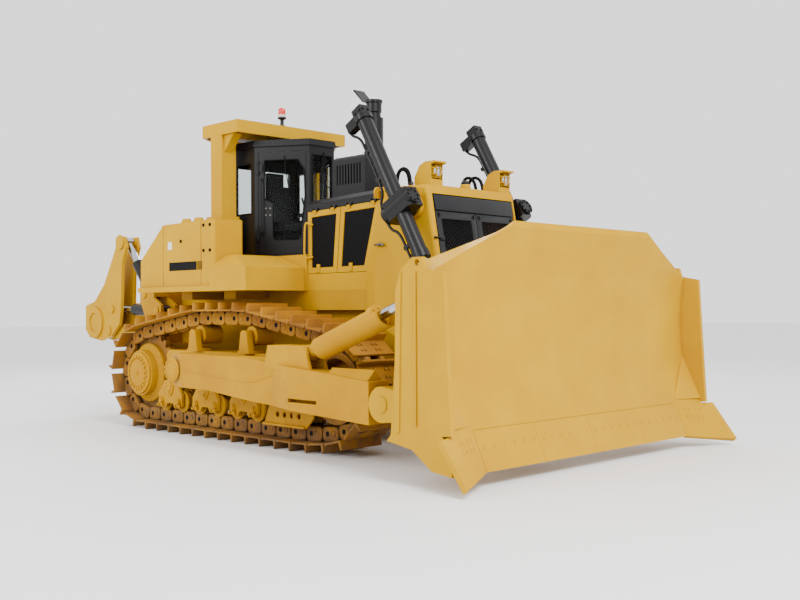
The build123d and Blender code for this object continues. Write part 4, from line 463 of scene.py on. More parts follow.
# %% Stand bolts on a face
def looking(place, normal):
    """The matrix that lays a model standing on z = 0 onto a face at a place."""
    rotation = Vector(normal).to_track_quat("Z", "Y").to_matrix().to_4x4()
    return Matrix.Translation(Vector(place)) @ rotation


def ring(centre, normal, radius, count, start=0.0):
    """Places round a circle, each looking along the circle's axis."""
    centre, normal = Vector(centre), Vector(normal).normalized()
    side = normal.orthogonal().normalized()
    ahead = normal.cross(side)
    found = []
    for i in range(count):
        angle = start + 2 * math.pi * i / count
        found.append(looking(centre + radius * (math.cos(angle) * side + math.sin(angle) * ahead), normal))
    return found


def bolt_model(radius):
    """A hexagon head on its washer, standing on z = 0."""
    washer_top = radius * 0.2
    washer = bar("bolt", (0, 0, 0), (0, 0, washer_top), radius * 1.25, 16)
    inset(washer, UP, radius * 0.15)
    head = bar("cap", (0, 0, washer_top), (0, 0, radius * 0.75), radius, 6)
    inset(head, UP, radius * 0.18, radius * 0.08)
    return joined("bolt", [washer, head])


def bolted(places, radius):
    """One bolt model repeated at each place."""
    return copies("bolts", bolt_model(radius), places)


print("bolts ready")

# %% [markdown]
# ## Track chains
# A crawler chain is forged links joined by pins, with a rolled shoe bolted to each pair. The chain is what
# the eye meets first at the machine's side, so one shoe with its two links, bushing and four bolts is
# modelled in full and then repeated round the same path as the frame's track, in place of it.

# %% Follow the chain's pin line
GAUGE_HALF, LINK_PITCH = 1.25, 0.280
SPROCKET_R = LINK_PITCH / 2 / math.sin(math.pi / 12)
WHEELS = [  # x, z and radius of the pin line, clockwise seen from the right
    (-2.080, 0.205 + SPROCKET_R, SPROCKET_R),
    (-0.750, 1.290, 0.205), (0.350, 1.290, 0.205), (1.900, 0.740, 0.500), (1.485, 0.325, 0.120),
]


def on_wheel(x, z, r, angle):
    return x + r * math.cos(angle), z + r * math.sin(angle)


def round_wheel(wheel, arrive):
    """The place at a distance along a wheel's arc, from the angle at which the chain arrives."""
    return lambda distance: on_wheel(*wheel, arrive - distance / wheel[2])


def straight(start, way):
    """The place at a distance along a straight stretch."""
    return lambda distance: tuple(start + way * distance)


def pin_line():
    """Stretches of the pin line: each one's length, and the function that gives its places."""
    pairs = list(zip(WHEELS, WHEELS[1:] + WHEELS[:1]))
    departures = []
    for (x1, z1, r1), (x2, z2, r2) in pairs:
        lean = math.asin((r1 - r2) / math.hypot(x2 - x1, z2 - z1))
        departures.append(math.atan2(z2 - z1, x2 - x1) + math.pi / 2 - lean)
    found = []
    for i, (wheel, next_wheel) in enumerate(pairs):
        arrive, depart = departures[i - 1], departures[i]
        found.append((wheel[2] * ((arrive - depart) % (2 * math.pi)), round_wheel(wheel, arrive)))
        start, end = Vector(on_wheel(*wheel, depart)), Vector(on_wheel(*next_wheel, depart))
        found.append(((end - start).length, straight(start, (end - start).normalized())))
    return found


stretches = pin_line()
total = sum(length for length, _ in stretches)
print("pin line", len(stretches), "stretches,", round(total, 3), "m")

# %% Set the pins along it
shoes = round(total / LINK_PITCH)
pitch = total / shoes
pins = []
for i in range(shoes):
    distance = i * total / shoes
    for length, spot in stretches:
        if distance <= length:
            pins.append(spot(distance))
            break
        distance -= length
print("pins", len(pins), "pitch", round(pitch, 4))


# %% Model one shoe
SHOE_HALF, SHOE_LOW, SHOE_TOP = 0.305, 0.095, 0.115
GROUSER_WIDE, LIP_WIDE = 0.046, 0.03


def split(piece, place, normal):
    """Cut the whole piece along a plane and keep both sides."""
    edit(piece)
    bpy.ops.mesh.select_all(action="SELECT")
    bpy.ops.mesh.bisect(plane_co=place, plane_no=normal)
    leave()


shoe = block("shoe", (0.008, -SHOE_HALF, SHOE_LOW), (pitch - 0.006, SHOE_HALF, SHOE_TOP))
split(shoe, (GROUSER_WIDE, 0, 0), (1, 0, 0))
extrude(shoe, lambda m, n: n.z > ALIKE and m.x < GROUSER_WIDE, (0, 0, 0.09), (0.63, 0.985, 1))
split(shoe, (pitch - LIP_WIDE, 0, 0), (1, 0, 0))
extrude(shoe, lambda m, n: n.z > ALIKE and m.x > pitch - LIP_WIDE, (0, 0, 0.010), (0.7, 1, 1))
bevelled(shoe, 0.003)
print("shoe", len(shoe.data.polygons), "faces")

# %% Model its link and bushing
LINK_IN, LINK_OUT, STRUT_END = 0.075, 0.135, 0.075

link = block("link", (-0.072, LINK_IN, -0.074), (pitch - 0.086, LINK_OUT, 0.093))
edit(link)
pick(link, lambda a, b: abs(a.y - b.y) > 0.05, "EDGE")
bpy.ops.mesh.bevel(offset=0.052, segments=5)
leave()
split(link, (STRUT_END, 0, 0), (1, 0, 0))
extrude(link, lambda m, n: n.y > ALIKE and m.x < STRUT_END, (0, 0.012, 0), (0.8, 1, 0.8))
bevelled(link, 0.005)
boss = bar("boss", (0, 0.140, 0), (0, 0.152, 0), 0.034, 20)
inset(boss, OUTWARD, 0.010, -0.008)
# Painted shade: a thin black disc on the link's side stands in for the shade inside its hole.
hole_shade_disc = bar("hole_shade_disc", (0.118, 0.132, 0.005), (0.118, 0.1355, 0.005), 0.030, 16)
extrude(hole_shade_disc, OUTWARD, (0, 0.001, 0), (0.9, 1, 0.9))
bushing = bar("bushing", (0, -0.078, 0), (0, 0.078, 0), 0.040, 18)
extrude(bushing, lambda m, n: abs(n.y) > ALIKE, (0, 0, 0), (0.8, 1, 0.8))
print("link", len(link.data.polygons), "faces")

# %% Repeat them round the chain
shoe_bolts = bolted([looking((x, side * y, SHOE_TOP), (0, 0, 1))
                     for x in (0.105, 0.190) for y in (0.080, 0.135) for side in (1, -1)], 0.017)
link_pair = copies("pair", joined("half", [link, boss]), (AS_IS, MIRROR))
unit = joined("unit", [shoe, link_pair, bushing, shoe_bolts])
hole_shade_discs = copies("hole_shades", hole_shade_disc, (AS_IS, MIRROR))
places = []
for (x1, z1), (x2, z2) in zip(pins, pins[1:] + pins[:1]):
    heading = math.atan2(z2 - z1, x2 - x1)
    places.append(Matrix.Translation((x1, 0, z1)) @ Matrix.Rotation(-heading, 4, "Y"))
for side, name in ((1, "left"), (-1, "right")):
    middle = Matrix.Translation((0, side * GAUGE_HALF, 0))
    round_chain = [middle @ place for place in places]
    chain = dressed(copies("chain_" + name, twin_of(unit), round_chain), "track_steel")
    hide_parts("track_" + name)
    # The black discs are painted shade in the links' holes.
    dressed(copies("link_hole_shades_" + name, twin_of(hole_shade_discs), round_chain), "core_black")
for model in (unit, hole_shade_discs):
    bpy.data.objects.remove(model)
print("chains", len(chain.data.polygons), "faces each")

# %% [markdown]
# ## Engine doors
# Each side door carries a dark wire screen that lets the engine breathe and keeps leaves out. The screen
# follows the door's slanting edges, so it starts as a plate and is cut along them. A latch tab with one
# bolt closes it.


# %% Weave the screens' look
WEAVE_SCALE = 55.0

tree, shader, place = start_finish("door_screen")
cells = tree.nodes.new("ShaderNodeTexVoronoi")
cells.inputs["Scale"].default_value = WEAVE_SCALE
cells.inputs["Randomness"].default_value = 0.0
wire(tree, place, cells.inputs["Vector"])
rim = stretched(tree, cells.outputs["Distance"], 0.25, 0.45)
wire(tree, mixed(tree, rim, (0.001, 0.001, 0.001), (0.004, 0.004, 0.0045)), shader.inputs["Base Color"])
wire(tree, stretched(tree, noise(tree, place, 30.0), 0.3, 0.7, 0.5, 0.75), shader.inputs["Roughness"])
shader.inputs["Specular IOR Level"].default_value = 0.06
bumped(tree, shader, rim, 0.6, 0.003)
print("screen woven in rows")


# %% Screen and latch the engine doors
SEAM, SEAM_LEAN = (1.044, 0, 2.05), 0.0955  # the line between the two doors
HOOD_EDGE_Z, HOOD_LEAN = 2.965, 0.0393
DOOR_FRAME, NOSE_SIDE_FRAME = 0.080, 0.078
HEAD_RAIL = 0.135 + 0.006 + 0.074
SCREEN_IN_Y, SCREEN_OUT_Y = 0.6065, 0.6125


def trimmed(piece, place, normal):
    """Cut away what lies beyond a plane, on the side that its normal looks to."""
    edit(piece)
    bpy.ops.mesh.select_all(action="SELECT")
    bpy.ops.mesh.bisect(plane_co=place, plane_no=normal, clear_outer=True, use_fill=True)
    leave()


def on_each(name, piece, slot, body, look=None):
    """The piece on the left and its mirror image on the right, each on its own body."""
    twin = twin_of(piece)
    dressed(copies(name + "_left", piece, (AS_IS,)), slot, body + "_left", look)
    dressed(copies(name + "_right", twin, (MIRROR,)), slot, body + "_right", look)


under_hood = ((0.493, 0, HOOD_EDGE_Z - HEAD_RAIL), (-HOOD_LEAN, 0, 1))
before_seam = ((SEAM[0] - DOOR_FRAME, 0, SEAM[2]), (1, 0, -SEAM_LEAN))
past_seam = ((SEAM[0] + DOOR_FRAME, 0, SEAM[2]), (-1, 0, SEAM_LEAN))
before_nose = ((1.585 - NOSE_SIDE_FRAME, 0, 2.056), (0.82, 0, -0.232))
for door, rear_x, front_x, cuts in (
    ("rear", 0.573, 1.30, (before_seam, under_hood)),
    ("front", 0.9, 1.95, (past_seam, before_nose, under_hood)),
):
    screen = block(door + "_screen", (rear_x, SCREEN_IN_Y, 2.130), (front_x, SCREEN_OUT_Y, 3.0))
    for spot, normal in cuts:
        trimmed(screen, spot, normal)
    inset(screen, OUTWARD, 0.006, -0.002)
    on_each(door + "_screen", screen, "core_black", "engine_door_" + door, "door_screen")
for door, x in (("rear", 0.700), ("front", 1.300)):
    tab = block("tab", (x - 0.024, 0.6275, 2.068), (x + 0.024, 0.632, 2.162))
    inset(tab, OUTWARD, 0.008, 0.002)
    lock = bolted([looking((x, 0.6315, 2.125), (0, 1, 0))], 0.011)
    latch = joined("latch", [bevelled(tab, 0.002), lock])
    on_each("latch_" + door, latch, "yellow_paint", "engine_door_" + door)
print("engine doors screened and latched")


# %% Add the side rails and hooks
def pipe(name, points, radius):
    """A bent tube: a smooth line through a few points, given a round section and turned to mesh."""
    deselect_all()
    line = bpy.data.curves.new(name, "CURVE")
    line.dimensions = "3D"
    spline = line.splines.new("NURBS")
    spline.points.add(len(points) - 1)
    for knot, place in zip(spline.points, points):
        knot.co = (*place, 1)
    spline.order_u, spline.use_endpoint_u = 3, True
    line.bevel_depth, line.bevel_resolution, line.use_fill_caps = radius, 4, True
    piece = bpy.data.objects.new(name, line)
    bpy.context.scene.collection.objects.link(piece)
    chosen(piece)
    bpy.ops.object.convert(target="MESH")
    bpy.ops.object.shade_smooth_by_angle(angle=math.radians(50))
    return bpy.context.object


rail = pipe("rail", [
    (0.60, 0.625, 2.66), (0.55, 0.66, 2.68), (0.515, 0.672, 2.69), (0.500, 0.675, 2.62), (0.494, 0.675, 2.42),
    (0.490, 0.675, 2.31), (0.505, 0.672, 2.25), (0.545, 0.66, 2.25), (0.60, 0.625, 2.26),
], 0.013)
on_both("side_rails", rail, "yellow_paint")
hook_eye = bar("hinge_eye", (1.925, 0.752, 2.345), (1.965, 0.790, 2.345), 0.020, 18)
extrude(hook_eye, lambda m, n: n.y > 0.5 and n.x > 0.5, (0.012, 0.012, 0), (0.6, 0.6, 0.6))
hook = pipe("hook", [
    (1.86, 0.753, 2.345), (1.90, 0.775, 2.345), (1.99, 0.785, 2.36), (2.04, 0.785, 2.33),
], 0.012)
on_both("side_hooks", joined("hooks", [bevelled(hook_eye, 0.003), hook]), "bare_steel")
print("rails and hooks")

# %% [markdown]
# ## Radiator grille
# The nose has a plain head band over two hinged doors of punched steel. Dozer work throws stones at it, so
# the bars between the diamond holes are wide. The grille is modelled lying flat and then laid onto the
# sloping guard.


# %% Punch a mesh and open a window
BAR_WIDE = 0.012


def punched(name, low, high, pitch, depth):
    """Diamond mesh in a rectangle: a turned grid, trimmed at four sides and made of bars."""
    deselect_all()
    span = 1.5 * max(high[0] - low[0], high[1] - low[1])
    middle = ((low[0] + high[0]) / 2, (low[1] + high[1]) / 2, depth)
    cells = int(span / pitch)
    bpy.ops.mesh.primitive_grid_add(x_subdivisions=cells, y_subdivisions=cells, size=span, location=middle,
                                    rotation=(0, 0, math.radians(45)))
    mesh = placed(name)
    for place, normal in (((low[0], 0, 0), (-1, 0, 0)), ((high[0], 0, 0), (1, 0, 0)),
                          ((0, low[1], 0), (0, -1, 0)), ((0, high[1], 0), (0, 1, 0))):
        edit(mesh)
        bpy.ops.mesh.select_all(action="SELECT")
        bpy.ops.mesh.bisect(plane_co=place, plane_no=normal, clear_outer=True)
        leave()
    bars = mesh.modifiers.new("bars", "WIREFRAME")
    bars.thickness, bars.use_even_offset = BAR_WIDE, False
    chosen(mesh)
    bpy.ops.object.modifier_apply(modifier="bars")
    return mesh


def window(piece, direction, border):
    """Open the piece from face to face, leaving a border: two inset faces bridged into a tunnel."""
    way = Vector(direction).normalized()
    edit(piece)
    pick(piece, lambda m, n: abs(n.dot(way)) > ALIKE)
    bpy.ops.mesh.inset(thickness=border, depth=0)
    bpy.ops.mesh.bridge_edge_loops()
    leave()


print("grille tools ready")

# %% Build the grille doors
NOSE_SIN, NOSE_COS, NOSE_X, NOSE_Z = 0.176, 0.9844, 2.9507, 1.5200  # the guard's lean and its foot
flat_to_nose = Matrix((
    (0, -NOSE_SIN, NOSE_COS, NOSE_X), (1, 0, 0, 0), (0, NOSE_COS, NOSE_SIN, NOSE_Z), (0, 0, 0, 1),
))
GRILLE_HIGH, GRILLE_HALF, BAND_LOW, DOOR_WIDE = 1.3800, 0.6895, 1.192, 0.668

surround = block("surround", (-GRILLE_HALF, 0.0005, -0.045), (GRILLE_HALF, GRILLE_HIGH, -0.020))
window(surround, (0, 0, 1), 0.016)
band = block("band", (-DOOR_WIDE, BAND_LOW, -0.040), (DOOR_WIDE, GRILLE_HIGH - 0.012, 0.006))
inset(band, UP, 0.012, 0.003)
pieces = [bevelled(surround, 0.003), bevelled(band, 0.004)]
for side in (-1, 1):
    low, high = sorted((side * 0.005, side * DOOR_WIDE))
    door = block("door", (low, 0.014, -0.030), (high, BAND_LOW - 0.006, -0.006))
    window(door, (0, 0, 1), 0.085)
    pieces.append(bevelled(door, 0.003))
    pieces.append(punched("mesh", (low + 0.08, 0.09), (high - 0.08, BAND_LOW - 0.085), 0.029, -0.020))
pieces = joined("grille", pieces)
frame_piece = dressed(copies("grille_doors", pieces, [flat_to_nose]), "grille_grey")
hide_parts("grille")
print("grille", len(frame_piece.data.polygons), "faces")

# %% Paint shade into its holes and add its latches
hole_shades = []
for x in (-0.622, -0.050, 0.050, 0.622):
    for y in (BAND_LOW - 0.050, 0.060):
        # Painted shade: each hole is a thin black disc on the door, standing for the shade inside it.
        grille_hole_shade = bar("grille_hole_shade", (x, y, -0.0065), (x, y, -0.0045), 0.026, 24)
        inset(grille_hole_shade, UP, 0.004, -0.001)
        hole_shades.append(grille_hole_shade)
dressed(copies("grille_hole_shades", joined("hole_shades", hole_shades), [flat_to_nose]), "core_black")
latches = []
for side in (-1, 1):
    x = side * 0.62
    for y in (0.35, 0.88):
        plate = block("plate", (x - 0.035, y - 0.03, -0.006), (x + 0.035, y + 0.03, 0.004))
        inset(plate, UP, 0.008, 0.004)
        lever = bar("lever", (side * 0.60, y, 0.004), (side * 0.735, y, 0.010), 0.010, 12)
        extrude(lever, looks((side, 0, 0)), (side * 0.012, 0, -0.004), (1.4, 1.4, 1.4))
        latches += [bevelled(plate, 0.003), bevelled(lever, 0.002)]
dressed(copies("grille_latches", joined("latches", latches), [flat_to_nose]), "black_paint")
print("grille latched", len(latches), "pieces")

# %% Cap the radiator
CAP_X, CAP_FOOT = 2.585, 2.975

cap = bar("cap_base", (CAP_X, 0, CAP_FOOT), (CAP_X, 0, CAP_FOOT + 0.055), 0.062, 28)
extrude(cap, UP, (0, 0, 0.008), (0.8, 0.8, 1))
dressed(bevelled(cap, 0.004), "yellow_paint")
lid = bar("cap_lid", (CAP_X, 0, CAP_FOOT + 0.059), (CAP_X, 0, CAP_FOOT + 0.091), 0.050, 10)
extrude(lid, UP, (0, 0, 0.014), (0.7, 0.7, 1))
dressed(bevelled(lid, 0.006), "black_paint")
print("radiator capped")

# %% [markdown]
# ## Work lamps
# The two lamps on the nose sit deep in hooded boxes. A dark bezel frames the clear lens and two guard wires
# cross it each way.

# %% Fit the lamps
LAMP_X, LAMP_Y, LAMP_Z = 2.685, 0.588, 3.128
WIRE = 0.0045

bezel = block("bezel", (LAMP_X - 0.006, LAMP_Y - 0.082, 3.042), (LAMP_X + 0.003, LAMP_Y + 0.082, 3.202))
inset(bezel, FORWARD, 0.012, -0.003)
on_both("lamp_bezels", bevelled(bezel, 0.004), "core_black")
lens = bar("lens", (2.698, LAMP_Y, LAMP_Z), (2.704, LAMP_Y, LAMP_Z), 0.060, 32)
inset(lens, FORWARD, 0.012, 0.005)
extrude(lens, lambda m, n: n.x > ALIKE and (m - Vector((m.x, LAMP_Y, LAMP_Z))).length < 0.02, (0.004, 0, 0),
        (1, 0.6, 0.6))
on_both("lamp_lenses", bevelled(lens, 0.003), "rod_chrome")
across = [(2.690, LAMP_Y - 0.086), (2.716, LAMP_Y - 0.080), (2.718, LAMP_Y), (2.716, LAMP_Y + 0.080),
          (2.690, LAMP_Y + 0.086)]
upwards = [(2.690, 3.050), (2.716, 3.056), (2.718, LAMP_Z), (2.716, 3.190), (2.690, 3.196)]
guards = [pipe("guard", [(x, y, z) for x, y in across], WIRE) for z in (3.095, 3.160)]
guards += [pipe("guard", [(x, y, z) for x, z in upwards], WIRE) for y in (0.556, 0.620)]
on_both("lamp_guards", joined("guards", guards), "yellow_paint")
print("lamps")

# %% [markdown]
# ## Bolts and covers of the undercarriage
# The final drive, the pivot and the bogies are all closed by bolted plates, and the ring of bolt heads is
# what tells a casting from a plain disc. One hexagon head is modelled for each size and set round its
# circle.

# %% Bolt the final drives
SPROCKET = Vector((-2.080, 0, 0.7459))
LEFT = Vector((0, 1, 0))

hub = SPROCKET + LEFT * 1.520
on_both("hub_bolts", bolted(ring(hub + LEFT * 0.001, LEFT, 0.218, 20), 0.021), "frame_paint")
plate = bar("plate", hub, hub + LEFT * 0.007, 0.188, 48)
inset(plate, OUTWARD, 0.012, 0.003)
inset(plate, lambda m, n: n.y > ALIKE and (m - hub).length < 0.05, 0.10, -0.003)
plug = bar("plug", hub + LEFT * 0.006, hub + LEFT * 0.020, 0.022, 6)
inset(plug, OUTWARD, 0.006, -0.004)
on_both("hub_covers", joined("covers", [bevelled(plate, 0.003), bevelled(plug, 0.002)]), "frame_paint")
flange = SPROCKET + LEFT * 1.340
on_both("sprocket_bolts", bolted(ring(flange, LEFT, 0.372, 24, 0.13), 0.022), "frame_paint")
print("final drives bolted")

# %% Cap the arm trunnions and dress the arms
ARM_TRUNNION = Vector((-0.500, 1.960, 0.873))
ARM_FACE = 1.9595

cover = bar("cover", ARM_TRUNNION, ARM_TRUNNION + LEFT * 0.018, 0.150, 40)
inset(cover, OUTWARD, 0.018, 0.010)
on_both("trunnion_covers", bevelled(cover, 0.004), "frame_paint", "arms")
cover_bolts = ring(ARM_TRUNNION + LEFT * 0.018, LEFT, 0.118, 12)
on_both("trunnion_bolts", bolted(cover_bolts, 0.021), "frame_paint", "arms")
step = block("step", (1.745, 1.958, 0.655), (2.285, 1.985, 0.790))
window(step, LEFT, 0.024)
step_edge = pipe("edge", [(1.735, 1.966, 0.800), (1.745, 1.992, 0.806), (2.010, 1.998, 0.800),
                          (2.280, 1.992, 0.790), (2.292, 1.966, 0.780)], 0.016)
on_both("arm_steps", joined("steps", [bevelled(step, 0.004), step_edge]), "frame_paint", "arms")
seam = ((-0.24, 0.885), (0.40, 0.835), (1.07, 0.780), (1.40, 0.868), (1.74, 0.965))
on_both("arm_welds", pipe("weld", [(x, ARM_FACE, z) for x, z in seam], 0.007), "frame_paint", "arms")
print("arms dressed")

# %% Bolt the bogies
BOGIE_X = (-1.350, -0.537, 0.277, 1.090)
FACE, ROLLER_AWAY = GAUGE_HALF + 0.215, 0.205  # the bogies' outer face; rollers before and behind

plates, places = [], []
for x in BOGIE_X:
    saddle = block("saddle", (x - 0.085, FACE, 0.470), (x + 0.085, FACE + 0.014, 0.640))
    trimmed(saddle, (x - 0.085, 0, 0.560), (-0.85, 0, -0.5))
    trimmed(saddle, (x + 0.085, 0, 0.560), (0.85, 0, -0.5))
    inset(saddle, OUTWARD, 0.014, 0.004)
    plates.append(bevelled(saddle, 0.003))
    for roller in (x - ROLLER_AWAY, x + ROLLER_AWAY):
        keeper = bar("keeper", (roller, FACE + 0.018, 0.400), (roller, FACE + 0.034, 0.400), 0.034)
        inset(keeper, OUTWARD, 0.010, -0.006)
        clamp = block("clamp", (roller - 0.062, FACE, 0.330), (roller + 0.062, FACE + 0.016, 0.362))
        extrude(clamp, OUTWARD, (0, 0.004, 0), (0.85, 1, 0.7))
        plates += [bevelled(keeper, 0.003), bevelled(clamp, 0.003)]
        places += [looking((roller + away, FACE + 0.019, 0.346), LEFT) for away in (-0.044, 0.044)]
    saddle_bolts = ((x - 0.05, 0.61), (x + 0.05, 0.61), (x, 0.52))
    places += [looking((bolt_x, FACE + 0.017, z), LEFT) for bolt_x, z in saddle_bolts]
on_both("bogie_saddles", joined("saddles", plates), "frame_paint")
on_both("bogie_bolts", bolted(places, 0.019), "frame_paint")
print("bogies bolted", len(places))

# %% Cap the carrier rollers
CARRIER_X, CARRIER_Z, STAND_FACE = (-0.750, 0.350), 1.290, GAUGE_HALF + 0.16

caps = []
for x in CARRIER_X:
    cap = bar("cap", (x, 1.4795, CARRIER_Z), (x, 1.489, CARRIER_Z), 0.060, 28)
    inset(cap, OUTWARD, 0.012, 0.006)
    caps.append(bevelled(cap, 0.003))
    for lug_x in (x - 0.060, x + 0.060):
        lug = bar("lug", (lug_x, STAND_FACE, 1.120), (lug_x, STAND_FACE + 0.012, 1.120), 0.013, 6)
        inset(lug, OUTWARD, 0.004, 0.002)
        caps.append(lug)
on_both("carrier_caps", joined("caps", caps), "frame_paint")
print("carrier rollers capped", len(CARRIER_X))

# %% [markdown]
# ## Blade edges
# The ground-engaging edges are spare parts. Countersunk plough bolts hold four long edges and two corner
# bits, and their oval heads lie a little below the steel so that rock doesn't shear them off.


# %% Bolt the blade's edges
EDGE_FOOT, EDGE_HEAD, EDGE_HALF = Vector((4.399, 0, 0.135)), Vector((4.227, 0, 0.500)), 1.771
BIT_FOOT, BIT_HEAD = Vector((4.692, 2.369, 0.077)), Vector((4.390, 2.369, 0.480))
BIT_IN = LEFT * (EDGE_HALF + 0.003)


def oval(size):
    """A countersunk head: a sunk oval with a raised rim."""
    head = bar("head", (0, 0, -0.001), (0, 0, 0.002), size, 20)
    inset(head, UP, size * 0.25, -0.0025)
    edit(head)
    bpy.ops.mesh.select_all(action="SELECT")
    bpy.ops.transform.resize(value=(0.62, 1, 1), center_override=(0, 0, 0))
    leave()
    return head


edge_way = (EDGE_HEAD - EDGE_FOOT).normalized()
edge_normal = Vector((edge_way.z, 0, -edge_way.x))
edge_spots = []
for plate in range(4):
    width = 2 * EDGE_HALF / 4
    for k in range(6):
        y = -EDGE_HALF + plate * width + width * (k + 0.5) / 6
        edge_spots.append(looking(EDGE_FOOT + LEFT * y + edge_way * 0.235, edge_normal))
dressed(copies("edge_bolts", oval(0.024), edge_spots), "frame_paint", "blade")

bit_spots = []
for mirror in (MIRROR, AS_IS):
    for out in (0.16, 0.27, 0.42, 0.53):
        for up in (0.60, 0.80):
            foot, head = (EDGE_FOOT + BIT_IN).lerp(BIT_FOOT, out), (EDGE_HEAD + BIT_IN).lerp(BIT_HEAD, out)
            normal = (BIT_FOOT - EDGE_FOOT - BIT_IN).cross(head - foot).normalized()
            bit_spots.append(looking(mirror @ foot.lerp(head, up), mirror @ normal))
dressed(copies("bit_bolts", oval(0.022), bit_spots), "frame_paint", "blade")
print("edges bolted", len(edge_spots) + len(bit_spots))

# %% Add the blade's weld, pads and gussets
seam = pipe("seam", [(4.242, y, 2.400) for y in (-1.15, 0, 1.15)], 0.006)
pads, gussets = [], []
for side in (-1, 1):
    outside = looks((0, side, 0))
    for y in (0.845, 1.075):
        pad = bar("pad", (3.460, side * (y - 0.006), 1.040), (3.460, side * (y + 0.046), 1.040), 0.078, 28)
        inset(pad, lambda m, n: abs(n.y) > ALIKE, 0.014, 0.004)
        pads.append(bevelled(pad, 0.003))
    hinge = bar("hinge", (3.293, side * 2.030, 0.692), (3.293, side * 2.046, 0.692), 0.085, 32)
    inset(hinge, outside, 0.016, 0.006)
    ridge = block("ridge", (3.962, side * 2.248, 0.55), (3.978, side * 2.262, 1.95))
    inset(ridge, outside, 0.004, 0.001)
    pads += [bevelled(hinge, 0.004), bevelled(ridge, 0.004)]
    gusset = block("gusset", (4.100, side * 1.750, 0.478), (4.360, side * 2.193, 0.900))
    trimmed(gusset, (4.335, side * 2.192, 0.490), (0.168, side * -0.041, 0.099))
    gussets.append(bevelled(gusset, 0.004))
dressed(joined("blade_gussets", gussets), "yellow_paint", "blade")
dressed(joined("blade_pads", pads), "yellow_paint", "blade")
dressed(joined("blade_seams", [seam]), "yellow_paint", "blade")
print("blade trimmed")

# %% [markdown]
# ## Cab fittings
# Rubber seals hold each pane, and a wiper sweeps the windscreen and each door. The seals are laid as round
# strips along the same corners as the openings, a little proud of the steel, as a real bead sits.


# %% Seal the windows
RUBBER = 0.010


def door_wall(along, height, out=0.0):
    """A place on the left door's slanting wall: along it from the rear, up, and outwards."""
    start, end = Vector((-0.610, 0.620)), Vector((0.045, 0.215))
    way = (end - start).normalized()
    spot = start + way * along
    return Vector((spot.x - way.y * out, spot.y + way.x * out, height))


def bead(name, corners, radius):
    """A rubber strip round a window, straight between its corners."""
    runs = [bar("run", first, last, radius, 10) for first, last in zip(corners, corners[1:] + corners[:1])]
    return joined(name, [bevelled(run, radius * 0.4) for run in runs])


opening = [(0.140, 3.587), (0.610, 3.587), (0.700, 3.450), (0.708, 3.100), (0.640, 2.570), (0.600, 2.535),
           (0.290, 2.535), (0.262, 2.575), (0.262, 3.020), (0.140, 3.080)]
door_seal = bead("door_seal", [door_wall(along, z, 0.003) for along, z in opening], RUBBER)
on_each("door_seal", door_seal, "core_black", "cab_door")
side_pane = [(x, 0.617, z) for x, z in ((-1.190, 2.890), (-0.680, 2.890), (-0.680, 3.560), (-1.190, 3.560))]
on_both("side_window_seals", bead("side", side_pane, RUBBER), "core_black")
windscreen = [(0.048, y, z) for y, z in ((-0.165, 2.760), (0.165, 2.760), (0.165, 3.650), (-0.165, 3.650))]
dressed(bead("screen", windscreen, 0.009), "core_black")
print("windows sealed")

# %% Fit wipers, grab rails and door studs
WIPER_ROD = 0.006

wiper_rod = pipe("arm", [(0.058, 0.03, 3.700), (0.062, 0.02, 3.50), (0.060, -0.04, 3.28)], WIPER_ROD)
strip = block("strip", (0.050, -0.050, 3.00), (0.060, -0.038, 3.48))
extrude(strip, FORWARD, (0.004, 0, 0), (1, 0.4, 0.96))
dressed(joined("screen_wiper", [wiper_rod, bevelled(strip, 0.001)]), "core_black")
door_line = ((0.42, 3.640, 0.012), (0.45, 3.40, 0.016), (0.50, 3.10, 0.012))
door_rod = pipe("arm", [door_wall(*place) for place in door_line], WIPER_ROD)
on_each("door_wiper", door_rod, "core_black", "cab_door")
rail = ((2.60, 0.002), (2.61, 0.05), (2.66, 0.055), (3.28, 0.055), (3.33, 0.05), (3.34, 0.002))
grab = pipe("grab", [door_wall(0.105, z, out) for z, out in rail], 0.011)
on_each("door_grab", grab, "black_paint", "cab_door")
door_out = door_wall(0, 0, 1) - door_wall(0, 0, 0)
studs = [looking(door_wall(along, z, 0.0005), door_out) for along in (0.16, 0.22) for z in (2.86, 2.95)]
on_each("door_studs", bolted(studs, 0.010), "bare_steel", "cab_door")
print("doors fitted")

# %% Build the beacon
DOME_R = 0.053

coated("clear_plastic", (0.55, 0.53, 0.48), (0.48, 0.46, 0.42), 0.2, grain=0.02)
x, y, base = -0.640, -0.130, 4.1055
stem = bar("stem", (x, y, base), (x, y, base + 0.016), 0.055, 28)
inset(stem, UP, 0.029)
extrude(stem, lambda m, n: n.z > ALIKE and (m - Vector((x, y, m.z))).length < 0.01, (0, 0, 0.080))
extrude(stem, lambda m, n: n.z > ALIKE and m.z > base + 0.09, (0, 0, 0.014), (2.3, 2.3, 1))
extrude(stem, lambda m, n: n.z > ALIKE and m.z > base + 0.10, (0, 0, 0.020))
dressed(bevelled(stem, 0.002), "black_paint")
collar = bar("beacon_collar", (x, y, base + 0.131), (x, y, base + 0.168), DOME_R, 28)
inset(collar, UP, 0.004, 0.002)
dressed(bevelled(collar, 0.002), "beacon_red", look="clear_plastic")
dome = bar("beacon_dome", (x, y, base + 0.168), (x, y, base + 0.225), DOME_R, 28)
extrude(dome, UP, (0, 0, 0.022), (0.86, 0.86, 1))
extrude(dome, UP, (0, 0, 0.015), (0.55, 0.55, 1))
dressed(bevelled(dome, 0.003), "beacon_red")
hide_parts("beacon")
print("beacon")

# %% [markdown]
# ## Tanks and roll-over post
# The side tanks are folded plate, so their seams show as fine lines. Filler caps stand on top, and the
# roll-over post is bolted down through its foot. The label plate is left blank.

# %% Seam, cap and bolt the tanks
TANK_FACE = 1.5005

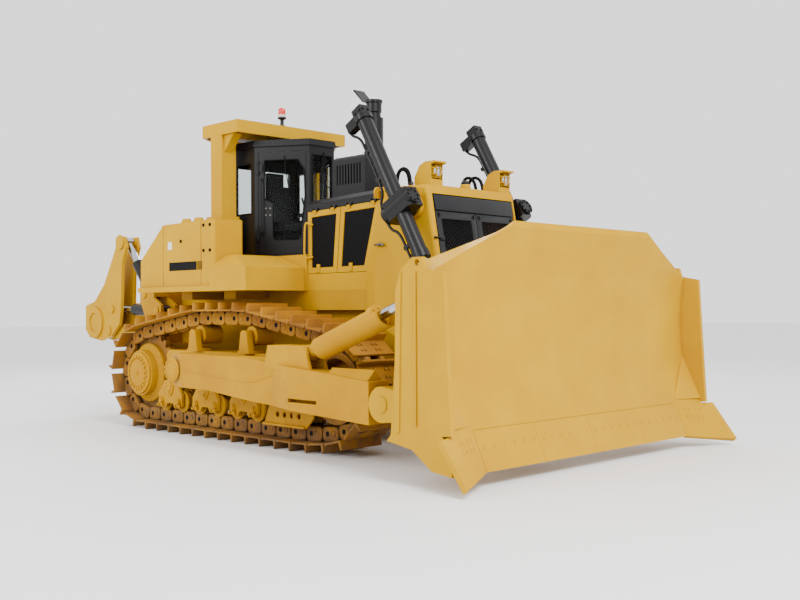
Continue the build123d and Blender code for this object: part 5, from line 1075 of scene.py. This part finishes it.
seams = []
for x in (-1.450, -0.560):
    strip = block("strip", (x - 0.004, 1.4985, 1.925), (x + 0.004, 1.5025, 2.735))
    inset(strip, OUTWARD, 0.001, 0.001)
    seams.append(strip)
on_both("tank_seams", joined("seams", seams), "track_steel")
caps = []
for x in (-1.270, -0.980):
    neck = bar("neck", (x, 1.250, 2.748), (x, 1.250, 2.790), 0.070, 28)
    extrude(neck, UP, (0, 0, 0.006), (0.86, 0.86, 1))
    extrude(neck, UP, (0, 0, 0.026), (0.95, 0.95, 1))
    caps.append(bevelled(neck, 0.004))
on_both("filler_caps", joined("caps", caps), "yellow_paint")
cleats = [(-0.50, 2.36), (-0.50, 2.68), (-0.36, 2.36), (-0.36, 2.68), (-1.02, 2.50)]
on_both("tank_bolts", bolted([looking((x, TANK_FACE, z), LEFT) for x, z in cleats], 0.018), "core_black")
print("tanks capped and bolted")

# %% Mark the sides and bolt the post
STRIPE_LOW, STRIPE_HIGH, STRIPE_IN, STRIPE_OUT = 2.120, 2.230, 1.4995, 1.5030

coated("label_white", (0.70, 0.70, 0.68), (0.64, 0.64, 0.62), 0.4, grain=0.03)
blank = block("blank_label", (-1.330, -1.5035, 2.400), (-1.240, -1.4995, 2.500))
inset(blank, looks((0, -1, 0)), 0.006, -0.0008)
dressed(blank, "rod_chrome", look="label_white")
panel = block("stripe_panel", (-1.300, STRIPE_IN, STRIPE_LOW), (-0.660, STRIPE_OUT, STRIPE_HIGH))
inset(panel, OUTWARD, 0.006, -0.0005)
stripes = [panel]
for i in range(5):
    x = -0.640 + i * 0.022
    stripes.append(block("bar", (x, STRIPE_IN, STRIPE_LOW), (x + 0.010, STRIPE_OUT, STRIPE_HIGH)))
on_both("side_stripes", bevelled(joined("stripes", stripes), 0.0006), "core_black")
post_bolts = [looking((x, y, 2.776), (0, 0, 1)) for x in (-1.20, -0.86) for y in (1.055, 1.11)]
on_both("post_bolts", bolted(post_bolts, 0.022), "yellow_paint")
print("sides marked, post bolted")

# %% [markdown]
# ## Cylinders and pins
# Oil reaches a lift cylinder through its swivel, then along a steel line clamped to the barrel. The heads
# and glands are bolted, and every pin is kept by a plate with three bolts.


# %% Bolt the lift cylinders
LIFT_TRUNNION = Vector((2.506, 0.980, 2.735))
DOWN, FRONT = Vector((0.4905, 0, -0.8715)), Vector((0.8715, 0, 0.4905))
TOP_BLOCK = -1.262  # the oil block at the barrel's upper end


def on_lift(along, out, side=0.0):
    """A place by the left lift cylinder: down along it from its trunnion, in front of it and to its left."""
    return LIFT_TRUNNION + DOWN * along + FRONT * out + LEFT * side


places = [looking(on_lift(-1.3205, out, side), -DOWN) for out in (-0.045, 0.045) for side in (-0.040, 0.040)]
places += [looking(on_lift(TOP_BLOCK, 0.0785, side), FRONT) for side in (-0.04, 0.04)]
places += [looking(on_lift(TOP_BLOCK + k * 0.05, out, 0.0705), LEFT) for out in (-0.04, 0.04) for k in (0, 1)]
swivel = [(along, side) for side in (-0.03, 0.03) for along in (-1.235, -1.175)]
places += [looking(on_lift(along, -0.2505, side), -FRONT) for along, side in swivel]
places += ring(on_lift(0.680, 0), DOWN, 0.080, 8)
places += ring(on_lift(0, 0.230), FRONT, 0.070, 8)
on_both("lift_studs", bolted(places, 0.014), "black_paint", "lift_barrels")
print("lift cylinders bolted", len(places))

# %% Run their steel lines
BARREL_LINE = (  # along, in front and to the left, from the oil block to the gland
    (-1.20, -0.255, 0.02), (-1.12, -0.25, 0.02), (-1.00, -0.13, 0.03), (-0.85, -0.122, 0.03),
    (-0.40, -0.122, 0.03), (-0.24, -0.13, 0.03), (-0.16, -0.240, 0.03), (0.16, -0.240, 0.03),
    (0.26, -0.13, 0.03), (0.50, -0.122, 0.03), (0.62, -0.120, 0.03), (0.66, -0.085, 0.02),
)

lines = [pipe("line", [on_lift(*place) for place in BARREL_LINE], 0.016)]
along_barrel = DOWN.to_track_quat("Z", "Y").to_matrix().to_4x4()
for along in (-0.80, -0.42, 0.46):
    clamp = block("clamp", (-0.022, -0.045, -0.022), (0.022, 0.045, 0.022))
    inset(clamp, OUTWARD, 0.008, 0.004)
    clamp.data.transform(Matrix.Translation(on_lift(along, -0.112, 0.020)) @ along_barrel)
    lines.append(bevelled(clamp, 0.004))
on_both("lift_lines", joined("lines", lines), "black_paint", "lift_barrels")
print("steel lines clamped")

# %% Bolt the tilt cylinders
TILT_BASE, TILT_EYE, GLAND_AT = Vector((1.974, 1.850, 1.141)), Vector((3.640, 1.850, 1.742)), 1.1855

along_tilt = (TILT_EYE - TILT_BASE).normalized()
gland = ring(TILT_BASE + along_tilt * GLAND_AT, along_tilt, 0.088, 8)
on_both("tilt_studs", bolted(gland, 0.013), "frame_paint", "tilt_barrels")
print("tilt cylinders bolted")

# %% Arch the nose lines
ARCH = ((2.02, 0.560, 3.005), (2.02, 0.560, 3.120), (2.09, 0.565, 3.215), (2.20, 0.570, 3.190),
        (2.25, 0.575, 3.080), (2.25, 0.575, 2.995))

arches = []
for dx, dy in ((0, 0), (0.065, 0.050)):
    arches.append(pipe("arch", [(x + dx, y + dy, z) for x, y, z in ARCH], 0.020))
nuts = []
for x, y in ((2.02, 0.560), (2.085, 0.615), (2.25, 0.560), (2.315, 0.615)):
    nut = bar("nut", (x, y, 2.998), (x, y, 3.040), 0.030, 6)
    inset(nut, UP, 0.006, 0.004)
    nuts.append(nut)
on_both("nose_lines", joined("arches", arches), "core_black")
on_both("nose_line_nuts", joined("nuts", nuts), "bare_steel")
print("nose lines", len(arches), "a side")

# %% Keep the ripper's pins
KEEPERS = {  # name: body, face and pins, each with x, z and its keeper's radius
    "beam": ("ripper_beam", 0.9205, ((-3.960, 1.290, 0.075), (-3.587, 2.640, 0.062), (-3.850, 1.620, 0.062))),
    "bracket": ("tractor", 0.9255, ((-2.900, 1.834, 0.058), (-2.560, 1.600, 0.058), (-2.950, 1.180, 0.075))),
}

for name, (body, face, spots) in KEEPERS.items():
    keepers, places = [], []
    for x, z, radius in spots:
        keeper = bar("keeper", (x, face, z), (x, face + 0.016, z), radius, 28)
        inset(keeper, OUTWARD, 0.014, 0.006)
        keepers.append(bevelled(keeper, 0.003))
        places += ring((x, face + 0.016, z), LEFT, radius - 0.026, 3)
    on_both("ripper_keepers_" + name, joined("keepers", keepers), "yellow_paint", body)
    on_both("ripper_bolts_" + name, bolted(places, 0.010), "frame_paint", body)
print("ripper pins kept")
